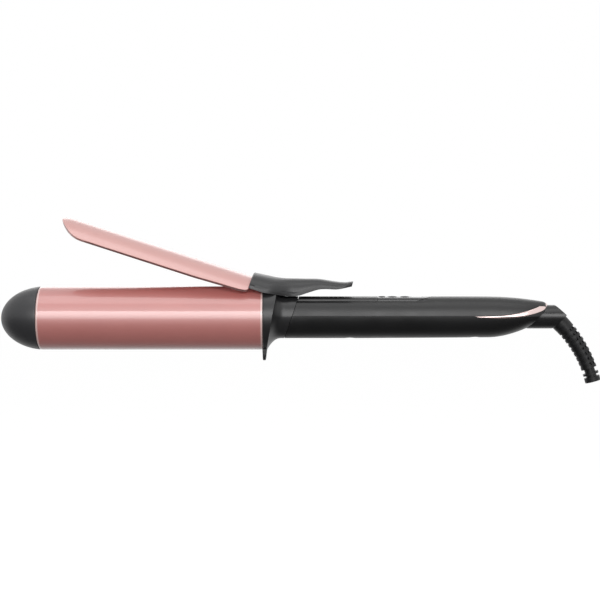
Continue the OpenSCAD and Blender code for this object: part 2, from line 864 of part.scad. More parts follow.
// Where a lever screw passes through the plate, looking outwards.
module lever_screw_axis(side) {
    translate([lever_screw_x, 0, 0]) rotate([-side * lever_screw_turn, 0, 0])
        translate([0, 0, barrel_r + plate_gap]) children();
}

module lever_screws() {
    color([0.7, 0.7, 0.72])
    opened() for (side = [-1, 1]) lever_screw_axis(side) {
        cylinder(h = plate_t - 0.05, r1 = 1.7, r2 = lever_screw_r);
        cylinder(h = 3, r = lever_screw_r - run_fit);
    }
}

// The plate in plan: an elliptical tip, straight sides and a narrower heel inside the lever.
function plate_side() = concat(
    [for (b = [0 : 7.5 : 90]) [
        -plate_len + plate_tip_r * (1 - cos(b)),
        plate_half_w * pow(sin(b), 0.92)
    ]],
    [
        [-lever_front - 5, plate_half_w], [-lever_front - 1.8, plate_half_w - 0.15],
        [-lever_front + 0.2, plate_half_w - 0.8], [-lever_front + 1.6, heel_half_w],
        [-0.4, heel_half_w]
    ]
);

module clamp_plate() {
    r_in = barrel_r + plate_gap;
    side = plate_side();
    color([0.9, 0.7, 0.68])
    opened() difference() {
        intersection() {
            tube_x(-plate_len - 1, -0.3, r_in + plate_t, r_in);
            linear_extrude(height = 40) polygon(concat(
                side, [for (i = [len(side) - 1 : -1 : 1]) [side[i][0], -side[i][1]]]
            ));
        }
        for (side = [-1, 1]) lever_screw_axis(side) {
            translate([0, 0, -0.3]) cylinder(h = plate_t + 0.3 - 0.05, r1 = 2.1, r2 = lever_screw_r + 0.1);
            cylinder(h = 3, r = lever_screw_r + 0.1);
        }
    }
}

module pivot_pin() {
    color([0.75, 0.75, 0.77]) rod_y(pivot_x, pivot_z, pin_half_len, pin_r);
}

// Torsion spring: a coil round the pin with one leg to the collar and one to the lever's roof.
module clamp_spring() {
    wire_r = spring_wire / 2;
    half = spring_pitch * spring_turns / 2;
    count = spring_turns * spring_steps;
    turn = 360 / spring_steps;
    coil = [for (i = [0 : count]) [
        pivot_x + spring_r * cos(i * turn - 90),
        -half + 2 * half * i / count,
        pivot_z + spring_r * sin(i * turn - 90)
    ]];
    first = [pivot_x + 6, -half, pivot_z - spring_r];
    last = [pivot_x + 6, half, pivot_z - spring_r + 2];
    path = concat([first], coil, [last]);
    color([0.8, 0.8, 0.82])
    loft([for (i = [0 : len(path) - 1])
        let (
            ahead = path[min(i + 1, len(path) - 1)],
            back = path[max(i - 1, 0)],
            dir = (ahead - back) / norm(ahead - back),
            side = cross(dir, [0, 1, 0]) / norm(cross(dir, [0, 1, 0])),
            up = cross(side, dir)
        )
        [for (s = [0 : spring_sides - 1]) let (a = -360 * s / spring_sides)
            path[i] + wire_r * (cos(a) * side + sin(a) * up)]
    ]);
}

// -------------------------------------------------------------------- handle

module screw_posts(z0, z1, r) {
    for (x = [screw_x, screw_rear_x]) rod_z(x, 0, z0, z1, r);
}

module upper_shell() {
    color([0.1, 0.1, 0.11])
    difference() {
        union() {
            intersection() {
                difference() {
                    handle_form();
                    handle_room();
                }
                above_trim(split_gap);
            }
            // Core that the trim band wraps round.
            intersection() {
                handle_form(core_inset, cavity_x1 - 2, handle_len - 5);
                block([cavity_x1, -40, split_z + split_gap], [handle_len - 4, 40, 40]);
            }
        }
        handle_room();
        seam_front(seam_gap);
        collar_spigot(0, seam_gap);
        rear_mouth();
        panel_room();
        for (x = [screw_x, screw_rear_x]) rod_z(x, 0, -1, screw_top + 0.5, screw_r - 0.15);
    }
    // Posts for the control board.
    color([0.1, 0.1, 0.11])
    difference() {
        for (x = board_post_x)
            rod_z(x, 0, board_z + board_t + seat_fit, hand_top - shell_wall / 2, board_post_r);
        panel_room();
        for (x = board_post_x) rod_z(x, 0, 0, board_z + board_t + 4, small_screw_r);
    }
}

module lower_shell() {
    color([0.1, 0.1, 0.11])
    difference() {
        union() {
            difference() {
                intersection() {
                    difference() {
                        handle_form();
                        handle_room();
                    }
                    below_trim(split_gap);
                }
                intersection() {
                    handle_form(core_inset - 0.05, cavity_x1 - 2, handle_len - 5);
                    block([cavity_x1 - 1, -40, split_z - split_gap], [handle_len, 40, 40]);
                }
            }
            intersection() {
                handle_form(core_inset, cavity_x1 - 2, handle_len - 5);
                block([cavity_x1, -40, -40], [handle_len - 4, 40, split_z - split_gap]);
            }
            // Posts for the power board.
            for (x = pb_post_x)
                rod_z(x, 0, handle_bottom(x) + shell_wall / 2, pb_z - seat_fit, pb_post_r);
        }
        handle_seats();
        seam_front(seam_gap);
        collar_spigot(0, seam_gap);
        rear_mouth();
        screw_posts(-30, screw_seat_z, screw_head_r + 0.4);
        screw_posts(-30, 30, screw_r + 0.15);
        for (x = pb_post_x) rod_z(x, 0, pb_z - 4, pb_z + 1, small_screw_r);
    }
}

module rear_trim() {
    color([0.9, 0.74, 0.72])
    difference() {
        intersection() {
            handle_form(-0.15, trim_x - 3);
            trim_wedge();
        }
        handle_form(trim_wall, trim_x - 4, handle_len - 5);
        rear_mouth();
    }
}

module handle_screws() {
    color([0.65, 0.65, 0.67])
    for (x = [screw_x, screw_rear_x]) difference() {
        union() {
            rod_z(x, 0, screw_seat_z - screw_head_t, screw_seat_z - seat_fit, screw_head_r);
            rod_z(x, 0, screw_seat_z - 1, screw_top, screw_r - 0.2);
        }
        rod_z(x, 0, screw_seat_z - 3, screw_seat_z - 1, 0.9);
    }
}

// ------------------------------------------------------------------ controls

// The opening for the panel: upright in front, with a ramp behind.
module panel_room(gap = 0) {
    rise = hand_top - panel_z;
    x1 = panel_x + panel_len - gap;
    side_prism([
        [panel_x + gap, panel_z + gap], [x1, panel_z + gap],
        [x1 + 2 * ramp_len, panel_z + gap + 2 * rise], [panel_x + gap, panel_z + gap + 2 * rise]
    ], panel_half_w - gap);
}

function round_rect(l, w, r, n = 4) = concat(
    [for (i = [0 : n]) [l / 2 - r, w / 2 - r] + r * [cos(90 * i / n), sin(90 * i / n)]],
    [for (i = [0 : n]) [-l / 2 + r, w / 2 - r] + r * [-sin(90 * i / n), cos(90 * i / n)]],
    [for (i = [0 : n]) [-l / 2 + r, -w / 2 + r] + r * [-cos(90 * i / n), -sin(90 * i / n)]],
    [for (i = [0 : n]) [l / 2 - r, -w / 2 + r] + r * [sin(90 * i / n), -cos(90 * i / n)]]
);

module key_outline(x, l, w, grow, z0, z1) {
    translate([x, 0, z0]) linear_extrude(height = z1 - z0)
        polygon(round_rect(l + 2 * grow, w + 2 * grow, 1.4 + grow));
}

module control_panel() {
    color([0.14, 0.14, 0.15])
    difference() {
        intersection() {
            handle_form(panel_sink, panel_x - 2, panel_x + panel_len + 12);
            panel_room(seat_fit);
        }
        block([panel_x + 0.6, -pocket_half_w, 0], [panel_x + panel_len - 0.8, pocket_half_w, pocket_z]);
        key_outline(power_x, power_key_len, key_w, move_gap, 0, 30);
        key_outline(minus_x, key_len, key_w, move_gap, 0, 30);
        key_outline(plus_x, key_len, key_w, move_gap, 0, 30);
        key_outline(window_x + window_len / 2, window_len, window_w, seat_fit, window_z, 30);
        key_outline(window_x + window_len / 2, window_len, window_w, -window_ledge, 0, 30);
    }
}

module display_window() {
    color([0.2, 0.22, 0.25, 0.6])
    intersection() {
        handle_form(panel_sink + 0.05, window_x - 2, window_x + window_len + 2);
        key_outline(window_x + window_len / 2, window_len, window_w, 0, window_z + 0.05, 30);
    }
}

module display_module() {
    edge = window_ledge + move_gap;
    color([0.3, 0.3, 0.32])
    block(
        [window_x + edge, -window_w / 2 + edge, board_z + board_t + seat_fit],
        [window_x + window_len - edge, window_w / 2 - edge, window_z - 0.4]
    );
}

module key(x, l) {
    color([0.2, 0.2, 0.21]) {
        intersection() {
            key_outline(x, l, key_w, 0, flange_z, 30);
            rod_y(x, crown_z - key_crown_r, key_w, key_crown_r);
        }
        key_outline(x, l, key_w + 2 * flange_lip, 0, flange_z, flange_z + flange_t);
    }
}
module button_power() { key(power_x, power_key_len); }
module button_minus() { key(minus_x, key_len); }
module button_plus() { key(plus_x, key_len); }

module control_board() {
    color([0.1, 0.35, 0.2])
    difference() {
        block([board_x0, -board_half_w, board_z], [board_x1, board_half_w, board_z + board_t]);
        for (x = board_post_x) rod_z(x, 0, board_z - board_t, board_z + 2 * board_t, small_screw_r + 0.15);
    }
}

module tact_switches() {
    z = board_z + board_t;
    color([0.15, 0.15, 0.16])
    for (x = [power_x, minus_x, plus_x]) {
        block(
            [x - switch_half, -switch_half, z + seat_fit / 2],
            [x + switch_half, switch_half, z + switch_h]
        );
        rod_z(x, 0, z + switch_h / 2, plunger_top, plunger_r);
    }
}

module small_screws(xs, z, up) {
    color([0.7, 0.7, 0.72])
    for (x = xs) translate([x, 0, z]) rotate([up > 0 ? 0 : 180, 0, 0]) {
        rod_z(0, 0, -small_head_t, 0, small_head_r);
        rod_z(0, 0, -1, board_t + 3.4, small_screw_r - 0.05);
    }
}
module control_board_screws() { small_screws(board_post_x, board_z - seat_fit, 1); }
module power_board_screws() { small_screws(pb_post_x, pb_z + board_t + seat_fit, -1); }

module power_board() {
    color([0.1, 0.35, 0.2])
    difference() {
        block([pb_x0, -pb_half_w, pb_z], [pb_x1, pb_half_w, pb_z + board_t]);
        for (x = pb_post_x) rod_z(x, 0, pb_z - board_t, pb_z + 2 * board_t, small_screw_r + 0.15);
    }
}

module power_parts() {
    z = pb_z + board_t + seat_fit / 2;
    capacitor_x0 = relay_x0 + relay_size[0] + 1.5;
    triac_x0 = pb_post_x[1] - small_head_r - 0.6 - triac_size[0];
    color([0.15, 0.3, 0.6]) translate([relay_x0, -relay_size[1] / 2, z]) cube(relay_size);
    color([0.2, 0.2, 0.22])
    rod_x(capacitor_x0, capacitor_x0 + capacitor_len, capacitor_r, z = z + capacitor_r);
    color([0.1, 0.1, 0.1]) translate([triac_x0, -triac_size[1] / 2, z]) cube(triac_size);
}

module supply_leads() {
    z = pb_z + board_t + seat_fit + supply_lead_r;
    color([0.15, 0.15, 0.16])
    for (side = [-1, 1]) wire([
        [pb_x1 - lead_run, side * supply_lead_y, z],
        [pb_x1 + lead_run, side * supply_lead_y, z],
        [holder_x0 - supply_lead_r - seat_fit, side * supply_lead_y, holder_z1 - supply_lead_r - 0.3]
    ], supply_lead_r);
}

// ------------------------------------------------------- swivel, in the handle

module brush_holder() {
    color([0.85, 0.83, 0.78])
    difference() {
        intersection() {
            block([holder_x0, -holder_half_w, -lower_h], [holder_x1, holder_half_w, holder_z1]);
            handle_form(shell_wall + seat_fit, holder_x0 - 2, holder_x1 + 2);
        }
        for (x = slip_x)
            rod_z(x + slip_w / 2, 0, holder_z1 - brush_foot_h - seat_fit, 0, brush_foot_r + seat_fit);
    }
}

// Two leaf contacts that press up on the slip rings.
module brush_springs() {
    top = boot_z - slip_r - seat_fit;
    base = holder_z1 + 0.3;
    color([0.8, 0.6, 0.3])
    for (x = slip_x) translate([x + slip_w / 2, 0, 0]) {
        rod_z(0, 0, holder_z1 - brush_foot_h, base + brush_t / 2, brush_foot_r);
        block([-brush_half_w, -brush_len, base], [brush_half_w, brush_foot_r, base + brush_t]);
        rotate([0, 0, 90]) side_prism([
            [-brush_len, base], [-brush_len + brush_t, base],
            [0.6, top - brush_t], [0.6, top], [-0.8, top]
        ], brush_half_w);
    }
}

module swivel_bush() {
    color([0.92, 0.92, 0.9]) tube_x(bush_x0, bush_x1, bush_r, neck_r + run_fit, boot_z);
}

module retaining_ring() {
    color([0.7, 0.7, 0.72])
    difference() {
        rod_x(ring_groove_x + 0.05, ring_groove_x + ring_t - 0.05, bush_r - 0.4, z = boot_z);
        rod_x(ring_groove_x - 1, ring_groove_x + 3, neck_r - ring_groove_depth + 0.05, z = boot_z);
        block([ring_groove_x - 1, -neck_r * 0.7, boot_z], [ring_groove_x + 3, neck_r * 0.7, 20]);
    }
}

module slip_rings() {
    color([0.85, 0.65, 0.3])
    for (x = slip_x) tube_x(x + 0.05, x + slip_w - 0.05, slip_r, slip_seat_r + 0.05, boot_z);
}

// Keeps what lies behind the relief's root, and inside the line of its outer face.
module elbow_end() {
    along = [cos(relief_angle), -sin(relief_angle)];
    out = [sin(relief_angle), cos(relief_angle)];
    corner = [relief_x, relief_z] + relief_root_d / 2 * out;
    reach = 4 * boot_d;
    far = [bulk_end - boot_d, 0];
    intersection() {
        children();
        side_prism([
            corner - reach * out, corner, corner - reach * along,
            far + [0, reach], far - [0, reach]
        ]);
    }
}

module swivel_boot() {
    color([0.22, 0.22, 0.23])
    difference() {
        union() {
            elbow_end() rod_x(bulk_end + move_gap, boot_x1 + 2 * boot_r, boot_r, z = boot_z);
            rod_x(slip_end, bulk_end + 1, neck_r, z = boot_z);
            rod_x(neck_x0, slip_end + 0.5, slip_seat_r, z = boot_z);
            rod_x(slip_end, slip_end + collar_ring_t, collar_ring_r, z = boot_z);
            rod_x(neck_x0, slip_x[0], slip_rib_r, z = boot_z);
            rod_x(slip_x[0] + slip_w, slip_x[1], slip_rib_r, z = boot_z);
            rod_x(slip_x[1] + slip_w, slip_end + 0.5, slip_rib_r, z = boot_z);
        }
        rod_x(neck_x0 - 1, relief_x - elbow_back * cos(relief_angle), cord_r, z = boot_z);
        tube_x(ring_groove_x, ring_groove_x + ring_t, boot_r, neck_r - ring_groove_depth, boot_z);
        at_relief(relief_angle, -elbow_back) {
            sphere(r = elbow_room_r);
            cylinder(h = 2 * elbow_back, r = cord_r);
        }
        at_relief(relief_angle, -relief_spigot - seat_fit)
            cylinder(h = 2 * boot_r, r = relief_spigot_r + seat_fit);
    }
}

// ------------------------------------------------------------- strain relief

function relief_at(a) = [relief_cx + relief_r * sin(a), 0, relief_cz + relief_r * cos(a)];
module at_relief(a, along = 0) {
    translate(relief_at(a)) rotate([0, 90 + a, 0]) translate([0, 0, along]) children();
}

// A bar that follows the bend. section lists its corners as [away from the bend's centre, across].
module bent_bar(section, a0, a1, steps) {
    loft([for (k = [0 : steps])
        let (a = lerp(a0, a1, k / steps), c = relief_at(a))
        [for (p = section) c + p[0] * [sin(a), 0, cos(a)] + p[1] * [0, 1, 0]]
    ]);
}
function round_section(r, n) = [for (s = [0 : n - 1]) let (q = 360 * s / n) r * [sin(q), cos(q)]];

// The plain round root, which narrows to the ribs.
module relief_root(steps, sides) {
    loft([for (k = [0 : steps])
        let (
            t = k / steps,
            a = relief_angle + relief_root_bend * t,
            r = lerp(relief_root_d, rib_d, ease(t)) / 2,
            c = relief_at(a)
        )
        [for (s = [0 : sides - 1]) let (q = 360 * s / sides)
            c + r * [sin(a) * sin(q), cos(q), cos(a) * sin(q)]]
    ]);
}

// A spine that joins the ribs, just below their edges and sunk into the core.
function spine_section(turns, steps) = concat(
    [for (k = [0 : steps]) let (q = lerp(turns[0], turns[1], k / steps))
        (relief_tip_d / 2 - spine_depth) * [sin(q), cos(q)]],
    [for (k = [steps : -1 : 0]) let (q = lerp(turns[0], turns[1], k / steps))
        (core_d / 2 - spine_depth) * [sin(q), cos(q)]]
);

module strain_relief() {
    root_a = relief_angle + relief_root_bend;
    rib_span = relief_bend - relief_root_bend - relief_tail_bend;
    ribs_end = root_a + rib_span;
    spine_end = ribs_end - 0.5;
    color([0.16, 0.16, 0.17])
    difference() {
        union() {
            relief_root(4, 24);
            at_relief(relief_angle, -relief_spigot) cylinder(h = relief_spigot + 1, r = relief_spigot_r);
            bent_bar(round_section(core_d / 2, 16), root_a - 1, relief_end_angle + 0.3, 8);
            // Spines: a broad one on the inside of the bend, one on each side and one outside.
            bent_bar(spine_section(inner_spine, 12), root_a - 1, spine_end, 8);
            bent_bar(spine_section(outer_spine, 2), root_a - 1, spine_end, 8);
            for (turn = [0, 1]) mirror([0, turn, 0])
                bent_bar(spine_section(side_spine, 2), root_a - 1, spine_end, 8);
            for (i = [1 : rib_count])
                at_relief(root_a + rib_span * i / rib_count, -rib_t)
                    cylinder(h = rib_t, r = lerp(rib_d, relief_tip_d, i / rib_count) / 2, $fn = 48);
            at_relief(ribs_end + relief_tail_bend / 2, 0)
                cylinder(h = tail_rib_t, r = relief_tip_d / 2, $fn = 48);
            at_relief(relief_end_angle, 0) cylinder(h = relief_tip_t, r = relief_tip_d / 2, $fn = 48);
        }
        bent_bar(round_section(cord_r + 0.05, 16), relief_angle - 3, relief_end_angle + 0.1, 10);
        at_relief(relief_end_angle, -0.1) cylinder(h = 2 * relief_tip_t, r = cord_r, $fn = 48);
    }
}

// --------------------------------------------------------------------- nodes

cool_tip();
tip_bridge();
tip_screw();
barrel();
heater_element();
upper_heat_spreader();
lower_heat_spreader();
thermistor();
thermal_fuse();
barrel_socket();
heater_leads();
front_collar();
upper_shell();
lower_shell();
rear_trim();
handle_screws();
control_panel();
display_window();
display_module();
button_power();
button_minus();
button_plus();
control_board();
tact_switches();
control_board_screws();
power_board();
power_parts();
power_board_screws();
supply_leads();
brush_holder();
brush_springs();
clamp_plate();
clamp_lever();
lever_screws();
pivot_pin();
clamp_spring();
swivel_boot();
strain_relief();
swivel_bush();
retaining_ring();
slip_rings();
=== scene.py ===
import json
import math

import bmesh
import bpy
from mathutils import Matrix, Vector


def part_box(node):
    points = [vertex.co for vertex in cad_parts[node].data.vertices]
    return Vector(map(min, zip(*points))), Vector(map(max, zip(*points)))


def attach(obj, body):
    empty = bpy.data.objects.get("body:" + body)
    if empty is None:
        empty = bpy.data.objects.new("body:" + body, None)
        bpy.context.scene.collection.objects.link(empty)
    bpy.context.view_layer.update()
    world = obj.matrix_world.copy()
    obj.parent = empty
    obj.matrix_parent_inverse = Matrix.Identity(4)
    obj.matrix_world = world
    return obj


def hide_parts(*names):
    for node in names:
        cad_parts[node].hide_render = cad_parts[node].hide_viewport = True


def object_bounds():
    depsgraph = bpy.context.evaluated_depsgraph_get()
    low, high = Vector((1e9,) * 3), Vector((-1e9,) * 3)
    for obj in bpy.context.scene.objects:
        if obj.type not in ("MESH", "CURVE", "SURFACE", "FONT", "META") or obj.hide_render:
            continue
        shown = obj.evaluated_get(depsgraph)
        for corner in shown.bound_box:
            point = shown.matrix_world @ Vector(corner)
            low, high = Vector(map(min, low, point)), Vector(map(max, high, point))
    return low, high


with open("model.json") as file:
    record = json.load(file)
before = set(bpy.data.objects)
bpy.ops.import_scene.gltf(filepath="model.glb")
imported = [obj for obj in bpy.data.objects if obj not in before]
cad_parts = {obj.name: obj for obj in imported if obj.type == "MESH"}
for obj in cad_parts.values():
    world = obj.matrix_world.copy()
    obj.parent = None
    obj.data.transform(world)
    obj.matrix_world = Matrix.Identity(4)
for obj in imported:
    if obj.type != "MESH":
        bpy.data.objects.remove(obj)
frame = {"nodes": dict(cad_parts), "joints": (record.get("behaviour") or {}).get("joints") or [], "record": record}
cad_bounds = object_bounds()

MM = 0.001


# ---------------------------------------------------------------- studio

CAMERA_AT = (0.0222, -0.841, 0.0108)
CAMERA_LENS = 84.1


def make_camera():
    """A long lens level with the barrel, looking along +Y."""
    data = bpy.data.cameras.new("studio_camera")
    data.lens = CAMERA_LENS
    data.sensor_width = 36.0
    data.clip_end = 50.0
    camera = bpy.data.objects.new("studio_camera", data)
    camera.location = CAMERA_AT
    camera.rotation_euler = (math.radians(90), 0, 0)
    bpy.context.collection.objects.link(camera)
    bpy.context.scene.camera = camera


def softbox(name, centre, aim, width, height, radiance, fade=None):
    """A rectangular lamp that faces aim. radiance is its brightness as seen in a mirror.
    fade = (low, high) dims it towards its lower edge, between those shares of its height."""
    data = bpy.data.lights.new(name, "AREA")
    data.shape = "RECTANGLE"
    data.size = width
    data.size_y = height
    data.energy = radiance * math.pi * width * height
    if fade:
        data.use_nodes = True
        tree = data.node_tree
        emission = tree.nodes["Emission"]
        across = tree.nodes.new("ShaderNodeNewGeometry")
        split = tree.nodes.new("ShaderNodeSeparateXYZ")
        tree.links.new(across.outputs["Parametric"], split.inputs[0])
        strength = remap(tree, split.outputs["Y"], *fade, 0.06, 1.0)
        tree.links.new(strength, emission.inputs["Strength"])
    lamp = bpy.data.objects.new(name, data)
    lamp.location = centre
    lamp.rotation_euler = (Vector(aim) - Vector(centre)).to_track_quat("-Z", "Y").to_euler()
    lamp.visible_camera = False
    bpy.context.collection.objects.link(lamp)


def make_lights():
    middle = (0.02, 0, 0)
    softbox("front_softbox", (0.02, -1.3, 0.2), (0.02, 0, 0.1), 1.5, 0.8, 5.6, (0.08, 0.78))
    softbox("top_softbox", (0.0, -0.3, 0.8), middle, 1.2, 0.5, 1.2)
    softbox("rear_softbox", (0.0, 1.1, 0.6), middle, 1.2, 0.6, 1.2)


AMBIENT = 0.14
BACKDROP_WHITE = 1.0
FLOOR_GLOW = 0.965
FLOOR_DROP = 0.2
FLOOR_GREY = 0.22


def make_world():
    """Even ambient light; the background itself is white."""
    world = bpy.data.worlds.new("studio_world")
    bpy.context.scene.world = world
    world.use_nodes = True
    tree = world.node_tree
    tree.nodes.clear()
    out = tree.nodes.new("ShaderNodeOutputWorld")
    mix = tree.nodes.new("ShaderNodeMixShader")
    ambient = tree.nodes.new("ShaderNodeBackground")
    backdrop = tree.nodes.new("ShaderNodeBackground")
    ambient.inputs["Strength"].default_value = AMBIENT
    backdrop.inputs["Strength"].default_value = BACKDROP_WHITE
    for light in (ambient, backdrop):
        light.inputs["Color"].default_value = (1, 1, 1, 1)
    camera, mirrored = ray_kinds(tree)
    tree.links.new(math_node(tree, "MAXIMUM", camera, mirrored), mix.inputs["Fac"])
    tree.links.new(ambient.outputs[0], mix.inputs[1])
    tree.links.new(backdrop.outputs[0], mix.inputs[2])
    tree.links.new(mix.outputs[0], out.inputs["Surface"])


def ray_kinds(tree):
    """Whether a camera ray arrives, and whether a glossy or transmission ray does."""
    path = tree.nodes.new("ShaderNodeLightPath")
    glossy, through = path.outputs["Is Glossy Ray"], path.outputs["Is Transmission Ray"]
    return path.outputs["Is Camera Ray"], math_node(tree, "MAXIMUM", glossy, through)


def make_floor():
    """A wide white table some way below the part. What is mirrored in the part whitens behind it."""
    bm = bmesh.new()
    bmesh.ops.create_grid(bm, x_segments=1, y_segments=1, size=20.0)
    bmesh.ops.translate(bm, verts=bm.verts, vec=(0, 0, cad_bounds[0][2] - FLOOR_DROP))
    mesh = bpy.data.meshes.new("table_top")
    bm.to_mesh(mesh)
    bm.free()
    floor = bpy.data.objects.new("table_top", mesh)
    bpy.context.collection.objects.link(floor)
    mat, tree, shader = new_material("white_table")
    shader.inputs["Base Color"].default_value = (FLOOR_GREY, FLOOR_GREY, FLOOR_GREY, 1)
    shader.inputs["Roughness"].default_value = 0.9
    shader.inputs["Specular IOR Level"].default_value = 0.0
    shader.inputs["Emission Color"].default_value = (1, 1, 1, 1)
    camera, mirrored = ray_kinds(tree)
    split = tree.nodes.new("ShaderNodeSeparateXYZ")
    tree.links.new(tree.nodes.new("ShaderNodeTexCoord").outputs["Object"], split.inputs[0])
    behind = remap(tree, split.outputs["Y"], 0.0, 0.3)
    mirrored = math_node(tree, "MULTIPLY", math_node(tree, "MULTIPLY", mirrored, behind), 0.9)
    seen = math_node(tree, "MULTIPLY", camera, FLOOR_GLOW)
    tree.links.new(math_node(tree, "MAXIMUM", seen, mirrored), shader.inputs["Emission Strength"])
    mesh.materials.append(mat)


# ---------------------------------------------------------------- finishes

def group_socket(tree, name, kind, way, value=None):
    socket = tree.interface.new_socket(name=name, in_out=way, socket_type=kind)
    if value is not None:
        socket.default_value = value


def start_group(name, inputs, outputs):
    """A node group with float inputs (name, value) and outputs (name, kind)."""
    tree = bpy.data.node_groups.new(name, "ShaderNodeTree")
    for label, value in inputs:
        group_socket(tree, label, "NodeSocketFloat", "INPUT", value)
    for label, kind in outputs:
        group_socket(tree, label, kind, "OUTPUT")
    return tree, tree.nodes.new("NodeGroupInput"), tree.nodes.new("NodeGroupOutput")


def add(tree, kind, **settings):
    """A new node with its own settings, such as a math node's operation."""
    node = tree.nodes.new(kind)
    for key, value in settings.items():
        setattr(node, key, value)
    return node


def join(tree, source, socket):
    """Links a socket to another, or gives it a plain value."""
    if isinstance(source, bpy.types.NodeSocket):
        tree.links.new(source, socket)
    else:
        socket.default_value = source


def feed(tree, node, **sources):
    """Sets or links a node's inputs by name, with _ for a space, or by number as in0."""
    for key, source in sources.items():
        numbered = key[:2] == "in" and key[2:].isdigit()
        join(tree, source, node.inputs[int(key[2:]) if numbered else key.replace("_", " ")])
    return node


def math_node(tree, operation, a, b=0.0, clamp=False):
    node = add(tree, "ShaderNodeMath", operation=operation, use_clamp=clamp)
    return feed(tree, node, in0=a, in1=b).outputs[0]


def remap(tree, value, low, high, to_low=0.0, to_high=1.0):
    node = add(tree, "ShaderNodeMapRange", clamp=True)
    feed(tree, node, Value=value, From_Min=low, From_Max=high, To_Min=to_low, To_Max=to_high)
    return node.outputs["Result"]


def noise(tree, scale, detail=2.0, roughness=0.5, stretch=None):
    """Noise in object space, at scale per metre. stretch squeezes it along the axes."""
    coords = add(tree, "ShaderNodeTexCoord").outputs["Object"]
    if stretch:
        mapping = add(tree, "ShaderNodeMapping")
        feed(tree, mapping, Vector=coords)
        mapping.inputs["Scale"].default_value = stretch
        coords = mapping.outputs[0]
    node = add(tree, "ShaderNodeTexNoise")
    feed(tree, node, Vector=coords, Scale=scale, Detail=detail, Roughness=roughness)
    return node.outputs["Fac"]


def fine_grain_group():
    """Moulded grain: a height, and a value that varies a little round 0.5."""
    tree, inn, out = start_group(
        "fine_grain", [("Scale", 4000.0)], [("Height", "NodeSocketFloat"), ("Value", "NodeSocketFloat")])
    pits = noise(tree, 4000.0, 3.0, 0.6)
    broad = noise(tree, 260.0, 2.0)
    tree.links.new(inn.outputs["Scale"], pits.node.inputs["Scale"])
    tree.links.new(pits, out.inputs["Height"])
    tree.links.new(math_node(tree, "ADD", math_node(tree, "MULTIPLY", pits, 0.5),
                             math_node(tree, "MULTIPLY", broad, 0.5)), out.inputs["Value"])
    return tree


def edge_wear_group():
    """A mask of the sharp outer edges, broken up by noise."""
    tree, inn, out = start_group(
        "edge_wear", [("Amount", 1.0), ("Start", 0.52), ("End", 0.58)], [("Mask", "NodeSocketFloat")])
    point = add(tree, "ShaderNodeNewGeometry").outputs["Pointiness"]
    node = add(tree, "ShaderNodeMapRange", clamp=True)
    feed(tree, node, Value=point, From_Min=inn.outputs["Start"], From_Max=inn.outputs["End"])
    patches = remap(tree, noise(tree, 420.0, 4.0, 0.65), 0.42, 0.62)
    mask = math_node(tree, "MULTIPLY", node.outputs["Result"], patches)
    mask = math_node(tree, "MULTIPLY", mask, inn.outputs["Amount"], True)
    tree.links.new(mask, out.inputs["Mask"])
    return tree


def dust_group():
    """Faint dust on what faces up, and a soft smudge over all."""
    tree, inn, out = start_group(
        "dust", [("Amount", 0.1)], [("Mask", "NodeSocketFloat"), ("Smudge", "NodeSocketFloat")])
    normal = add(tree, "ShaderNodeNewGeometry").outputs["Normal"]
    split = add(tree, "ShaderNodeSeparateXYZ")
    tree.links.new(normal, split.inputs[0])
    up = remap(tree, split.outputs["Z"], 0.2, 1.0)
    specks = remap(tree, noise(tree, 1500.0, 4.0, 0.7), 0.5, 0.75)
    mask = math_node(tree, "MULTIPLY", math_node(tree, "MULTIPLY", up, specks), inn.outputs["Amount"])
    tree.links.new(mask, out.inputs["Mask"])
    smudge = remap(tree, noise(tree, 55.0, 3.0, 0.55), 0.3, 0.7)
    tree.links.new(smudge, out.inputs["Smudge"])
    return tree


def pearl_group():
    """Fine mica in a coating: a flake value and a slow drift of tone."""
    tree, inn, out = start_group(
        "pearl", [("Scale", 9000.0)], [("Flake", "NodeSocketFloat"), ("Drift", "NodeSocketFloat")])
    cells = add(tree, "ShaderNodeTexVoronoi", feature="F1")
    coords = add(tree, "ShaderNodeTexCoord").outputs["Object"]
    feed(tree, cells, Vector=coords, Scale=inn.outputs["Scale"])
    split = add(tree, "ShaderNodeSeparateColor")
    tree.links.new(cells.outputs["Color"], split.inputs[0])
    tree.links.new(split.outputs[0], out.inputs["Flake"])
    tree.links.new(noise(tree, 40.0, 2.0), out.inputs["Drift"])
    return tree


def place(tree, group, **values):
    node = tree.nodes.new("ShaderNodeGroup")
    node.node_tree = group
    feed(tree, node, **values)
    return node


def mix_colour(tree, fac, a, b):
    node = add(tree, "ShaderNodeMix", data_type="RGBA", blend_type="MIX")
    for number, source in ((0, fac), (6, a), (7, b)):
        join(tree, (*source[:3], 1.0) if isinstance(source, tuple) else source, node.inputs[number])
    return node.outputs[2]


def bump(tree, shader, height, distance):
    node = add(tree, "ShaderNodeBump")
    feed(tree, node, Strength=1.0, Distance=distance, Height=height)
    tree.links.new(node.outputs[0], shader.inputs["Normal"])


def new_material(name):
    mat = bpy.data.materials.new(name)
    mat.use_nodes = True
    return mat, mat.node_tree, mat.node_tree.nodes["Principled BSDF"]


def srgb(r, g, b):
    """A colour given as 0 to 255 display values, made linear."""
    def lin(v):
        v /= 255
        return v / 12.92 if v <= 0.04045 else ((v + 0.055) / 1.055) ** 2.4
    return (lin(r), lin(g), lin(b), 1.0)


DUST_TONE = srgb(170, 168, 165)


